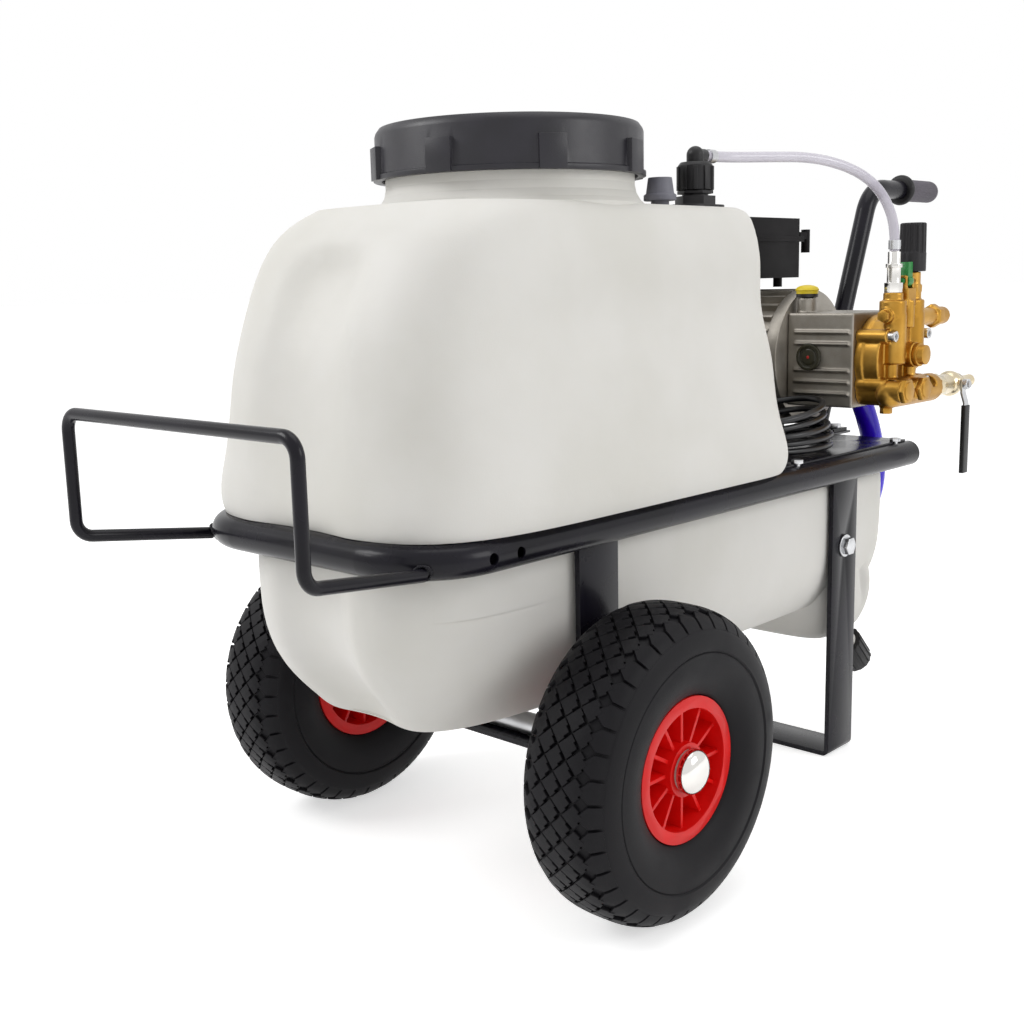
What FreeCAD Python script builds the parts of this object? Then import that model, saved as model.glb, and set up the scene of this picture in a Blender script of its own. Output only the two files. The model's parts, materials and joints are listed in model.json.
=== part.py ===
import FreeCAD, Part
import Sketcher
import math
import os
from FreeCAD import Placement, Rotation, Vector

# Wheeled sprayer cart: a blow-moulded tank in a bent tube frame on two wheels, with an
# electric plunger pump on a plate behind it. Millimetres, +Z up, +X towards the handle,
# +Y to the right-hand wheel. The origin is on the ground, under the middle of the cart.

doc = FreeCAD.newDocument("SprayerCart")

# Driving sizes

sizes = {
    # wheels and axle
    "wheel_diameter": 260, "tyre_width": 85, "tyre_seat_diameter": 108, "rim_flange_diameter": 120,
    "rim_width": 64, "rim_wall": 4, "rim_web": 5, "rib_thickness": 3, "rib_count": 12,
    "hub_diameter": 44, "hub_length": 62, "bush_diameter": 28, "bush_flange": 34, "track": 392,
    "axle_diameter": 20, "cap_diameter": 37, "cap_height": 13, "cap_grip": 9,
    # frame
    "tube_diameter": 27, "tube_wall": 2, "frame_half_width": 141, "frame_height": 316,
    "frame_front": 195, "frame_rear": 538, "frame_bend": 62, "side_hole": 9,
    "side_hole_front": 138, "side_hole_pitch": 29, "tube_cap_length": 16,
    "rod_diameter": 10, "rod_bend": 14, "loop_reach": 109, "loop_half_width": 146,
    "loop_top": 422, "loop_bottom": 324, "loop_weld": 132,
    "strap_width": 50, "strap_thickness": 5, "strap_half_width": 132.5, "strap_bend": 8,
    "front_strap_x": 8, "rear_strap_x": 417,
    "strap_bolt_height": 230, "strap_bolt": 10, "washer_diameter": 24, "washer_thickness": 2,
    "bolt_head_height": 6.5, "insert_diameter": 18, "insert_length": 22,
    # pump plate
    "plate_front": 280, "plate_rear": 532, "plate_thickness": 2.5, "plate_lip": 15,
    "tab_length": 44, "tab_width": 64, "plate_screw": 6, "plate_screw_inset": 24,
    # handle
    "handle_diameter": 22, "handle_wall": 2, "handle_y": -18, "handle_foot": 556,
    "handle_lean": 114, "handle_height": 615, "handle_top": 160, "handle_bend": 45,
    "foot_plate": 4, "foot_length": 30, "foot_width": 60, "foot_bolt": 8,
    "grip_length": 77, "grip_diameter": 27, "grip_wall": 5, "collar_diameter": 37,
    "collar_width": 9,
    # tank
    "wall": 4, "tank_bottom": 160, "tank_half_width": 125, "shelf_height": 301,
    "tank_rear": 536, "waist_rear": 335, "waist_front": 178, "waist_half_width": 123.5,
    "upper_front": 200, "upper_rear": 270, "upper_half_width": 161, "tank_top": 577,
    "top_half_width": 112, "top_front": 110, "groove_depth": 50, "groove_half_width": 23,
    "sump_bottom": 117, "sump_front": 402, "sump_rear": 500, "sump_half_width": 116,
    "neck_x": 52, "neck_radius": 109, "neck_top": 630, "neck_flare": 10, "boss_wall": 4,
    # lid
    "ring_radius": 117, "ring_bottom": 602, "ring_top": 646, "ring_wall": 5, "ring_lip": 8,
    "ring_crown_radius": 113, "lug_count": 8, "lug_width": 23, "lug_height": 27,
    "lug_depth": 4, "lug_turn": 15, "disc_thickness": 4.5, "disc_radius": 106, "seal_thickness": 3,
    "strainer_depth": 150, "strainer_gap": 3, "strainer_wall": 2, "strainer_rim": 2.5,
    "vent_x": 150, "vent_y": -90, "vent_diameter": 29, "vent_height": 20, "vent_base": 5,
    # return fitting on the tank's top
    "return_x": 212, "return_y": -84, "return_flange_length": 64, "return_flange_width": 40,
    "return_flange": 3, "return_nut_diameter": 35, "return_nut_height": 25, "return_height": 48,
    "return_bore": 10, "return_stem": 24, "elbow_diameter": 16, "barb_length": 16,
    "hose_diameter": 10, "hose_bore": 7, "clamp_width": 9, "clamp_wall": 1.2,
    # motor
    "pump_x": 467, "pump_axis": 425, "motor_radius": 66, "fin_depth": 8, "fin_count": 28,
    "fin_thickness": 2.4, "motor_front": -45, "motor_length": 185, "motor_wall": 5,
    "shield_thickness": 14, "cowl_length": 50, "cowl_wall": 1.5,
    "cowl_seat": 4, "shaft_diameter": 24,
    "rotor_radius": 39, "air_gap": 0.5, "stator_length": 110, "bearing_diameter": 52,
    "bearing_width": 15, "fan_radius": 55, "fan_blades": 7, "foot_spread": 90,
    "foot_pitch": 85, "foot_rail": 30, "foot_length_y": 125,
    # switch box
    "box_length": 112, "box_width": 140, "box_lower": 43, "box_upper": 23, "box_wall": 3,
    "box_flange": 4, "box_y": -9, "box_bottom": 511, "rocker_width": 28, "rocker_pin": 4,
    "rocker_pin_depth": 6, "rocker_cheek": 3,
    # crankcase and pump head
    "crank_width": 98, "crank_height": 98, "crank_wall": 7, "crank_depth": 77,
    "crank_fin": 3, "sight_y": -86, "sight_z": 428, "sight_diameter": 28,
    "oil_x": 435, "oil_y": -72, "oil_cap_diameter": 25, "oil_cap_height": 13, "oil_neck": 10,
    "head_radius": 45, "head_flange": 26, "head_lip": 8, "head_block": 36,
    "head_half_width": 22, "head_floor": 420, "head_roof": 465, "screw_spread_x": 37, "screw_spread_z": 25, "screw_boss": 15,
    "head_screw": 8, "screw_head": 11, "tower_y": -167, "tower_radius": 13.5,
    "tower_spread": 40, "tower_offset": -4.5, "tower_bottom": 422, "tower_top": 494,
    "tower_head": 24, "tower_waist": 11, "tower_neck": 6.5, "tower_collar": 10,
    "manifold_y": -172, "manifold_z": 392, "manifold_radius": 15, "manifold_front": 433,
    "manifold_end": 528, "manifold_nose": 6, "nose_x": 440, "nose_reach": 24,
    "outlet_z": 467, "outlet_reach": 561, "outlet_radius": 9.5,
    "valve_cap_x": 430, "valve_cap_pitch": 38.5, "valve_cap_rise": 3, "valve_cap": 23,
    "plunger_diameter": 15, "plunger_length": 55, "plunger_circle": 22,
    "plunger_start": -97.5, "cam_radius": 34, "cam_thickness": 14, "cam_tilt": 7,
    "knob_diameter": 26.5, "knob_height": 49.5, "spindle_diameter": 10, "spindle_base": 20.5,
    "bypass_x": 463, "bypass_y": -170.5, "bypass_z": 505.5, "bypass_length": 19,
    "bypass_width": 10, "bypass_pin": 3, "bypass_hub": 6,
    "tail_hex": 10, "tail_height": 52,
    # ball valve and suction side
    "valve_radius": 14, "valve_x": 570, "valve_end": 585, "ball_diameter": 19, "valve_bore": 11,
    "stem_diameter": 7, "lever_length": 96, "lever_width": 9, "lever_thickness": 2.5,
    "lever_joggle": 3.5, "sleeve_wall": 1.3, "tail_end": 621, "tail_diameter": 13,
    "suction_diameter": 24, "suction_bore": 19, "outlet_height": 108, "outlet_y": -96,
    "outlet_angle": 135, "outlet_nut": 38, "outlet_nut_length": 41, "spout_diameter": 26,
    "suction_drop": 20, "suction_pipe": 9, "suction_face": 534, "suction_boss": 20, "suction_stub": 12.5,
    # mains cable
    "cable_diameter": 6.5, "coil_turns": 4.75, "coil_half_length": 70, "coil_half_width": 45,
    "coil_x": 360, "coil_y": -88, "coil_pitch": 7.1, "coil_lean": 22,
    # clearances
    "running_fit": 0.05, "gap": 0.3, "side_gap": 0.6,
}

sheet = doc.addObject("Spreadsheet::Sheet", "Sizes")
for row, (name, value) in enumerate(sizes.items(), start=1):
    sheet.set("A%d" % row, name)
    sheet.set("B%d" % row, "%g" % value)
    sheet.setAlias("B%d" % row, name)
doc.recompute()


class Size:
    """A size as an expression on the sheet, with its present value."""

    def __init__(self, text, value):
        self.text = text
        self.value = float(value)

    def combine(self, sign, other, result):
        return Size("(%s %s %s)" % (self.text, sign, other.text), result)

    def __add__(self, other):
        other = as_size(other)
        return self.combine("+", other, self.value + other.value)

    def __sub__(self, other):
        other = as_size(other)
        return self.combine("-", other, self.value - other.value)

    def __mul__(self, other):
        other = as_size(other)
        return self.combine("*", other, self.value * other.value)

    def __truediv__(self, other):
        other = as_size(other)
        return self.combine("/", other, self.value / other.value)

    def __radd__(self, other):
        return as_size(other) + self

    def __rsub__(self, other):
        return as_size(other) - self

    def __rmul__(self, other):
        return as_size(other) * self

    def __neg__(self):
        return as_size(-1) * self


def as_size(value):
    return value if isinstance(value, Size) else Size("(%.9g)" % value, value)


def root_of(size):
    return Size("sqrt(%s)" % size.text, math.sqrt(size.value))


class Named:
    """The sheet's sizes by name."""


s = Named()
for name in sizes:
    setattr(s, name, Size("Sizes.%s" % name, sheet.get(name)))

# Places that several pieces share

rear_reach = s.handle_foot + s.handle_lean + s.handle_top
front_reach = s.frame_front + s.loop_reach + s.rod_diameter / 2
axle_x = (front_reach - rear_reach) / 2
axle_z = s.wheel_diameter / 2
tube_radius = s.tube_diameter / 2
tube_top = s.frame_height + tube_radius
plate_top = tube_top + s.plate_thickness
tank_seat = tube_top + s.gap
pump_x = axle_x + s.pump_x
neck_x = axle_x + s.neck_x

turn = {
    "+X": Rotation(Vector(0, 1, 0), 90), "-X": Rotation(Vector(0, 1, 0), -90),
    "+Y": Rotation(Vector(1, 0, 0), -90), "-Y": Rotation(Vector(1, 0, 0), 90),
    "+Z": Rotation(), "-Z": Rotation(Vector(1, 0, 0), 180),
}


def point(x, y, z):
    return Vector(as_size(x).value, as_size(y).value, as_size(z).value)


def bind(item, prop, size):
    size = as_size(size)
    if prop in item.PropertiesList:
        setattr(item, prop, size.value)
    item.setExpression(prop, size.text)


def place(item, x=0, y=0, z=0, axis="+Z"):
    rotation = turn[axis] if isinstance(axis, str) else axis
    item.Placement = Placement(point(x, y, z), rotation)
    for letter, size in zip("xyz", (x, y, z)):
        item.setExpression("Placement.Base.%s" % letter, as_size(size).text)
    return item


# Primitives and booleans

def rod(name, radius, length, x=0, y=0, z=0, axis="+Z"):
    item = doc.addObject("Part::Cylinder", name)
    bind(item, "Radius", radius)
    bind(item, "Height", length)
    return place(item, x, y, z, axis)


def block(name, length, width, height, x, y, z):
    """A box centred on x and y, standing on z."""
    item = doc.addObject("Part::Box", name)
    bind(item, "Length", length)
    bind(item, "Width", width)
    bind(item, "Height", height)
    return place(item, x - as_size(length) / 2, y - as_size(width) / 2, z)


def cone(name, lower, upper, height, x, y, z, axis="+Z"):
    item = doc.addObject("Part::Cone", name)
    bind(item, "Radius1", lower)
    bind(item, "Radius2", upper)
    bind(item, "Height", height)
    return place(item, x, y, z, axis)


def ball(name, radius, x, y, z, axis="+Z"):
    item = doc.addObject("Part::Sphere", name)
    bind(item, "Radius", radius)
    return place(item, x, y, z, axis)


def corner_axis(first, second):
    """Points a corner ball's poles into the two rods that leave it."""
    return Rotation(Vector(0, 0, 1), Vector(*first) - Vector(*second))


def hexagon(name, across, height, x, y, z, axis="+Z"):
    item = doc.addObject("Part::Prism", name)
    item.Polygon = 6
    bind(item, "Circumradius", as_size(across) * (1 / math.sqrt(3)))
    bind(item, "Height", height)
    return place(item, x, y, z, axis)


def fuse(name, *items):
    if len(items) == 1:
        return items[0]
    item = doc.addObject("Part::MultiFuse", name)
    item.Shapes = list(items)
    item.Refine = True
    return item


def cut(name, base, *tools):
    item = doc.addObject("Part::Cut", name)
    item.Base = base
    item.Tool = fuse(name + "_tools", *tools)
    item.Refine = True
    return item


def group(name, *items):
    item = doc.addObject("Part::Compound", name)
    item.Links = list(items)
    return item


parts = []


def keep(label, item):
    item.Label = label
    if item.Label != label:
        raise ValueError("the name %s is taken" % label)
    parts.append(item)
    return item


def feature(name, shape):
    item = doc.addObject("Part::Feature", name)
    item.Shape = shape
    return item


# Sketched bodies

def new_sketch(body, name, role="XY_Plane"):
    sketch = body.newObject("Sketcher::SketchObject", name)
    plane = [item for item in body.Origin.OriginFeatures if item.Role == role][0]
    sketch.AttachmentSupport = (plane, [""])
    sketch.MapMode = "FlatFace"
    return sketch


def draw_polygon(sketch, corners):
    """A closed outline with each corner held at its two sizes from the origin."""
    corners = [(as_size(x), as_size(y)) for x, y in corners]
    count = len(corners)
    for index in range(count):
        start, end = corners[index], corners[(index + 1) % count]
        sketch.addGeometry(Part.LineSegment(Vector(start[0].value, start[1].value, 0),
                                            Vector(end[0].value, end[1].value, 0)), False)
    for index in range(count):
        sketch.addConstraint(Sketcher.Constraint("Coincident", index, 2, (index + 1) % count, 1))
    for index, corner in enumerate(corners):
        for kind, size in zip(("DistanceX", "DistanceY"), corner):
            held = sketch.addConstraint(Sketcher.Constraint(kind, -1, 1, index, 1, size.value))
            sketch.setExpression("Constraints[%d]" % held, size.text)
    return sketch


def draw_circle(sketch, x, y, radius):
    x, y, radius = as_size(x), as_size(y), as_size(radius)
    index = sketch.addGeometry(Part.Circle(Vector(x.value, y.value, 0), Vector(0, 0, 1),
                                           radius.value), False)
    for kind, size in (("DistanceX", x), ("DistanceY", y)):
        held = sketch.addConstraint(Sketcher.Constraint(kind, -1, 1, index, 3, size.value))
        sketch.setExpression("Constraints[%d]" % held, size.text)
    held = sketch.addConstraint(Sketcher.Constraint("Radius", index, radius.value))
    sketch.setExpression("Constraints[%d]" % held, radius.text)
    return sketch


def turned(name, profile, x=0, y=0, z=0, axis="+Z"):
    """A body of revolution from (radius, height) corners."""
    body = doc.addObject("PartDesign::Body", name)
    sketch = draw_polygon(new_sketch(body, name + "_profile", "XZ_Plane"), profile)
    spin = body.newObject("PartDesign::Revolution", name + "_spin")
    spin.Profile = sketch
    spin.ReferenceAxis = (sketch, ["V_Axis"])
    spin.Angle = 360
    body.Tip = spin
    return place(body, x, y, z, axis)


def add_pad(body, name, corners, length, start=0, role="XY_Plane", middle=False):
    sketch = draw_polygon(new_sketch(body, name + "_outline", role), corners)
    if not isinstance(start, (int, float)) or start:
        sketch.setExpression("AttachmentOffset.Base.z", as_size(start).text)
    pad = body.newObject("PartDesign::Pad", name)
    pad.Profile = sketch
    bind(pad, "Length", length)
    if middle:
        pad.SideType = "Symmetric"
    body.Tip = pad
    return pad


def repeat(body, name, original, count):
    """Copies of a pad or pocket, evenly round the body's own Z axis."""
    pattern = body.newObject("PartDesign::PolarPattern", name)
    pattern.Originals = [original]
    pattern.Axis = (axis_of(body, "Z_Axis"), [""])
    pattern.Angle = 360
    pattern.Occurrences = round(count.value)
    pattern.setExpression("Occurrences", count.text)
    body.Tip = pattern
    return pattern


def axis_of(body, role):
    return [item for item in body.Origin.OriginFeatures if item.Role == role][0]


def padded(name, corners, length, x=0, y=0, z=0, axis="+Z"):
    body = doc.addObject("PartDesign::Body", name)
    add_pad(body, name + "_pad", corners, length)
    return place(body, x, y, z, axis)


# Bent rods and tubes

def corner_arc(first, corner, last):
    before, after = (first - corner).normalize(), (last - corner).normalize()
    half_turn = (math.pi - before.getAngle(after)) / 2
    radius = (first - corner).Length / math.tan(half_turn)
    inward = (before + after).normalize()
    reach = radius / math.cos(half_turn) - radius
    return Part.Arc(first, corner + inward * reach, last).toShape()


def rounded_path(corners, radii):
    """Straight runs joined by tangent arcs."""
    edges = []
    start = corners[0]
    for index in range(1, len(corners) - 1):
        corner = corners[index]
        before = (corners[index - 1] - corner).normalize()
        after = (corners[index + 1] - corner).normalize()
        half_turn = (math.pi - before.getAngle(after)) / 2
        trim = radii[index - 1] * math.tan(half_turn)
        first, last = corner + before * trim, corner + after * trim
        edges.append(Part.LineSegment(start, first).toShape())
        edges.append(corner_arc(first, corner, last))
        start = last
    edges.append(Part.LineSegment(start, corners[-1]).toShape())
    return Part.Wire(edges)


def swept(path, radius):
    start = path.Edges[0].valueAt(path.Edges[0].FirstParameter)
    heading = path.Edges[0].tangentAt(path.Edges[0].FirstParameter)
    ring = Part.Wire(Part.makeCircle(radius, start, heading))
    return path.makePipeShell([ring], True, False)


def tube_along(name, corners, radii, outer, inner=0):
    path = rounded_path(corners, radii)
    shape = swept(path, outer)
    if inner:
        shape = shape.cut(swept(path, inner))
    expected = math.pi * (outer ** 2 - inner ** 2) * path.Length
    if abs(shape.Volume / expected - 1) > 0.01:
        raise ValueError("%s holds %g of %g" % (name, shape.Volume, expected))
    return feature(name, shape)


def free_radii(corners):
    """The largest arcs that a cord's runs allow."""
    radii = []
    for before, corner, after in zip(corners, corners[1:], corners[2:]):
        turned_by = math.pi - (before - corner).getAngle(after - corner)
        shorter = min((before - corner).Length, (after - corner).Length)
        radii.append(0.45 * shorter / math.tan(turned_by / 2))
    return radii


def cord(name, corners, diameter, bore=0):
    radii = free_radii(corners)
    turns = [round(math.degrees(math.pi - (a - b).getAngle(c - b)))
             for a, b, c in zip(corners, corners[1:], corners[2:])]
    print(name, "radii", [round(r) for r in radii], "turns", turns)
    return tube_along(name, corners, radii, diameter / 2, bore / 2)


def round_edges(body, name, radius, chosen):
    """Fillet the edges of a body that the test picks."""
    doc.recompute()
    tip = body.Tip
    edges = ["Edge%d" % n for n, edge in enumerate(tip.Shape.Edges, start=1) if chosen(edge)]
    fillet = body.newObject("PartDesign::Fillet", name)
    fillet.Base = (tip, edges)
    bind(fillet, "Radius", radius)
    body.Tip = fillet
    return fillet


def along(edge, direction):
    """True for a straight edge that runs along a direction."""
    if edge.Curve.TypeId != "Part::GeomLine":
        return False
    return abs(edge.tangentAt(edge.FirstParameter).dot(direction)) > 0.999


def arc_corners(radius, height, base_r, base_h, degrees):
    """Corners on a quarter ellipse, for a dome or a rounded tread."""
    corners = []
    for angle in degrees:
        across = math.cos(math.radians(angle))
        up = math.sin(math.radians(angle))
        corners.append((base_r + radius * across, base_h + height * up))
    return corners


# Wheels

seat_radius = s.tyre_seat_diameter / 2
flange_radius = s.rim_flange_diameter / 2
flange_inner = s.rim_width / 2 - s.rim_wall
hub_end = s.hub_length / 2
bush_rim = as_size(1.5)
hub_outer = hub_end + bush_rim


def tyre_profile():
    half = s.tyre_width / 2
    waist = seat_radius + (axle_z - seat_radius) * 0.5
    bead = flange_inner - 0.2
    neck = flange_radius + 0.4
    lower = [(seat_radius, -bead), (neck, -bead), (neck, -half * 0.76), (neck + 12, -half * 0.94)]
    tread = []
    for angle in (0, 25, 45, 62, 78):
        across = math.cos(math.radians(angle)) ** 0.62
        up = math.sin(math.radians(angle)) ** 0.8
        tread.append((waist + (axle_z - waist) * up, -half * across))
    upper = [(r, -h) for r, h in reversed(lower + tread)]
    return lower + tread + [(axle_z, 0)] + upper


def rim_profile():
    bore, hub, barrel = s.bush_diameter / 2, s.hub_diameter / 2, seat_radius - s.rim_wall
    web, edge = s.rim_web / 2, s.rim_width / 2
    half = [(bore, hub_end), (hub, hub_end), (hub, web), (barrel, web), (barrel, edge),
            (flange_radius, edge), (flange_radius, flange_inner), (seat_radius, flange_inner)]
    return half + [(r, -h) for r, h in reversed(half)]


def make_wheel(side, sign):
    middle = s.track / 2 * sign
    keep(side + "_tyre", turned(side + "_tyre", tyre_profile(), axle_x, middle, axle_z, "+Y"))
    rim = turned(side + "_rim", rim_profile(), axle_x, middle, axle_z, "+Y")
    half_rib = s.rib_thickness / 2
    inner, outer = s.hub_diameter / 2 - 1, seat_radius - s.rim_wall + 1
    rib = add_pad(rim, side + "_rib", [(inner, -half_rib), (outer, -half_rib), (outer, half_rib),
                                       (inner, half_rib)], s.rim_width - 12, middle=True)
    repeat(rim, side + "_ribs", rib, s.rib_count)
    keep(side + "_rim", rim)
    bore, shell = s.axle_diameter / 2 + s.running_fit, s.bush_diameter / 2
    flange = s.bush_flange / 2
    profile = [(bore, 0), (flange, 0), (flange, bush_rim), (shell, bush_rim),
               (shell, bush_rim + 18), (bore, bush_rim + 18)]
    outer_bush = turned(side + "_bush_outer", profile, axle_x, middle - hub_outer, axle_z, "+Y")
    inner_bush = turned(side + "_bush_inner", profile, axle_x, middle + hub_outer, axle_z, "-Y")
    keep(side + "_bushes", group(side + "_bush_pair", outer_bush, inner_bush))


def make_axle():
    reach = s.track / 2 + hub_outer + s.side_gap
    half = reach + s.cap_grip
    inner, outer = s.axle_diameter / 2, s.cap_diameter / 2
    dome = arc_corners(outer, s.cap_height - 3, 0, 3, (0, 25, 45, 65, 80))
    profile = [(inner, 0), (outer, 0)] + dome + [(0, s.cap_height), (0, s.cap_grip),
                                                 (inner, s.cap_grip)]
    near = turned("cap_left", profile, axle_x, -reach, axle_z, "-Y")
    far = turned("cap_right", profile, axle_x, reach, axle_z, "+Y")
    end_caps.extend([near, far])
    inboard = s.track / 2 - hub_outer - s.side_gap
    length = inboard - s.strap_half_width
    runs = [rod("axle_rod", s.axle_diameter / 2, half * 2, axle_x, -half, axle_z, "+Y")]
    for start in (-inboard, s.strap_half_width):
        runs.append(rod("spacer", s.hub_diameter / 2 - 7, length, axle_x, start, axle_z, "+Y"))
    keep("axle", fuse("axle", *runs))


end_caps = []
make_wheel("left", -1)
make_wheel("right", 1)
make_axle()

# Frame

front_x = axle_x - s.frame_front
tube_end = axle_x + s.frame_rear


def frame_run(name, radius):
    """The bent tube as a solid of one radius: two sides, the front and two bends."""
    straight = s.frame_front - s.frame_bend + s.frame_rear
    middle = s.frame_half_width - s.frame_bend
    runs = [rod(name + "_front", radius, middle * 2, front_x, -middle, s.frame_height, "+Y")]
    for sign, heading in ((-1, 180), (1, 90)):
        side = s.frame_half_width * sign
        runs.append(rod(name + "_side", radius, straight, front_x + s.frame_bend, side,
                        s.frame_height, "+X"))
        bend = doc.addObject("Part::Torus", name + "_bend")
        bind(bend, "Radius1", s.frame_bend)
        bind(bend, "Radius2", radius)
        bend.Angle3 = 90
        place(bend, front_x + s.frame_bend, middle * sign, s.frame_height,
              Rotation(Vector(0, 0, 1), heading))
        runs.append(bend)
    return fuse(name, *runs)


frame_core = frame_run("frame_core", tube_radius)
plate_screw_places = [(axle_x + x, s.frame_half_width * side)
                      for x in (s.plate_front + s.plate_screw_inset,
                                s.plate_rear - s.plate_screw_inset) for side in (-1, 1)]


def make_loop():
    """The round-rod loop in front, welded to the tube at both ends."""
    weld_x, far_x = front_x + 6, front_x - s.loop_reach
    half = []
    for side in (-1, 1):
        half.append([point(weld_x, s.loop_weld * side, s.frame_height - 6),
                     point(far_x, s.loop_half_width * side, s.loop_bottom),
                     point(far_x, s.loop_half_width * side, s.loop_top)])
    corners = half[0] + list(reversed(half[1]))
    bar = tube_along("loop_bar", corners, [s.rod_bend.value] * 4, s.rod_diameter.value / 2)
    return cut("front_loop", bar, frame_core)


def make_frame():
    tools = [frame_run("frame_bore", tube_radius - s.tube_wall)]
    for side in (-1, 1):
        for pitch in (0, 1):
            x = axle_x - s.side_hole_front + s.side_hole_pitch * pitch
            outside = s.frame_half_width * side + tube_radius * side
            tools.append(rod("side_hole", s.side_hole / 2, tube_radius, x, outside,
                             s.frame_height, "+Y" if side < 0 else "-Y"))
    for x, y in plate_screw_places:
        tools.append(rod("screw_hole", s.plate_screw / 2, tube_radius, x, y, s.frame_height))
    weldment = fuse("frame_weldment", frame_core, make_loop())
    keep("frame_tube", cut("frame_tube", weldment, *tools))
    caps = []
    shell = tube_radius - s.tube_wall
    for side in (-1, 1):
        profile = [(0, 0), (tube_radius, 0), (tube_radius, 2), (shell, 2),
                   (shell, s.tube_cap_length), (0, s.tube_cap_length)]
        caps.append(turned("tube_cap", profile, tube_end + 2, s.frame_half_width * side,
                           s.frame_height, "-X"))
    keep("end_caps", group("end_cap_set", *end_caps, *caps))


def make_strap(label, x, bottom, holes):
    """A flat bar bent into a U between the side tubes."""
    wide, thick = s.strap_half_width, s.strap_thickness
    inner, top = wide - thick, s.frame_height
    corners = [(-wide, bottom), (wide, bottom), (wide, top), (inner, top), (inner, bottom + thick),
               (-inner, bottom + thick), (-inner, top), (-wide, top)]
    body = doc.addObject("PartDesign::Body", label + "_bar")
    add_pad(body, label + "_flat", corners, s.strap_width, role="YZ_Plane", middle=True)
    forward = Vector(1, 0, 0)
    low = as_size(bottom).value + thick.value / 2
    round_edges(body, label + "_outer", s.strap_bend, lambda edge: along(edge, forward)
                and edge.CenterOfMass.z < low)
    inner_height = as_size(bottom).value + thick.value
    round_edges(body, label + "_inner", s.strap_bend - thick, lambda edge: along(edge, forward)
                and abs(edge.CenterOfMass.z - inner_height) < 0.01)
    place(body, x)
    keep(label, cut(label, body, frame_core, *holes))


def make_straps():
    long_rod = s.strap_half_width * 2 + 20
    axle_hole = rod("axle_hole", s.axle_diameter / 2, long_rod, axle_x, -long_rod / 2, axle_z, "+Y")
    make_strap("front_strap", axle_x + s.front_strap_x,
               axle_z - s.axle_diameter / 2 - s.strap_thickness, [axle_hole])
    x = axle_x + s.rear_strap_x
    bolt_hole = rod("bolt_hole", s.strap_bolt / 2, long_rod, x, -long_rod / 2,
                    s.strap_bolt_height, "+Y")
    make_strap("rear_strap", x, 0, [bolt_hole])
    bolts, washers, inserts = [], [], []
    for side, axis in ((-1, "-Y"), (1, "+Y")):
        face = s.strap_half_width * side
        seat = face + s.washer_thickness * side
        washer = rod("washer", s.washer_diameter / 2, s.washer_thickness, x, face,
                     s.strap_bolt_height, axis)
        hole = rod("washer_hole", s.strap_bolt / 2, s.washer_thickness, x, face,
                   s.strap_bolt_height, axis)
        washers.append(cut("washer_ring", washer, hole))
        head = hexagon("bolt_head", s.strap_bolt * 1.7, s.bolt_head_height, x, seat,
                       s.strap_bolt_height, axis)
        shank_length = s.washer_thickness + s.strap_thickness + s.insert_length - 3
        shank = rod("bolt_shank", s.strap_bolt / 2, shank_length, x, seat, s.strap_bolt_height,
                    "+Y" if side < 0 else "-Y")
        bolts.append(fuse("strap_bolt", head, shank))
        inner = (s.strap_half_width - s.strap_thickness) * side
        inward = "+Y" if side < 0 else "-Y"
        sleeve = rod("insert", s.insert_diameter / 2, s.insert_length, x, inner,
                     s.strap_bolt_height, inward)
        thread = rod("insert_hole", s.strap_bolt / 2, s.insert_length - 3, x, inner,
                     s.strap_bolt_height, inward)
        inserts.append(cut("insert_sleeve", sleeve, thread))
    keep("strap_bolts", group("strap_bolt_set", *bolts, *washers, *inserts))


make_frame()
make_straps()

# Pump plate

foot_places = [(pump_x + s.foot_spread / 2 * a, s.motor_front + 70 + s.foot_pitch * b)
               for a in (-1, 1) for b in (0, 1)]
tab_x = axle_x + s.handle_foot
foot_bolt_places = [(tab_x, s.handle_y + (s.foot_width / 2 - 8) * side) for side in (-1, 1)]


def make_plate():
    length = s.plate_rear - s.plate_front
    wide = s.frame_half_width * 2
    main = block("plate_sheet", length, wide, s.plate_thickness,
                 axle_x + (s.plate_front + s.plate_rear) / 2, 0, tube_top)
    inside = (s.frame_half_width - tube_radius - 1) * 2
    lip = block("plate_lip", s.plate_thickness, inside, s.plate_lip,
                axle_x + s.plate_rear - s.plate_thickness / 2, 0, tube_top - s.plate_lip)
    tab = block("plate_tab", s.tab_length + 10, s.tab_width, s.plate_thickness,
                axle_x + s.plate_rear + s.tab_length / 2 - 5, s.handle_y, tube_top)
    holes = []
    for x, y in plate_screw_places:
        holes.append(rod("plate_hole", s.plate_screw / 2, 10, x, y, tube_top - 2))
    for x, y in foot_places + foot_bolt_places:
        holes.append(rod("plate_bolt_hole", s.foot_bolt / 2, 10, x, y, tube_top - 2))
    keep("pump_plate", cut("pump_plate", fuse("plate_blank", main, tab, lip), *holes))
    screws = []
    for x, y in plate_screw_places:
        head = hexagon("screw_head", s.plate_screw * 1.7, 4, x, y, plate_top)
        shank = rod("screw_shank", s.plate_screw / 2, s.plate_thickness + 8, x, y, tube_top - 8)
        screws.append(fuse("plate_screw", head, shank))
    return screws


def bolt_down(name, places, top, radius, depth):
    """Hexagon bolts through the plate with nuts below."""
    bolts = []
    for x, y in places:
        head = hexagon(name + "_head", radius * 3.3, radius * 1.3, x, y, top)
        shank = rod(name + "_shank", radius, depth, x, y, top - depth)
        nut = hexagon(name + "_nut", radius * 3.3, radius * 1.4, x, y, tube_top - radius * 1.4)
        bolts.append(fuse(name, head, shank, nut))
    return bolts


plate_fixings = make_plate()

# Handle

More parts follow.
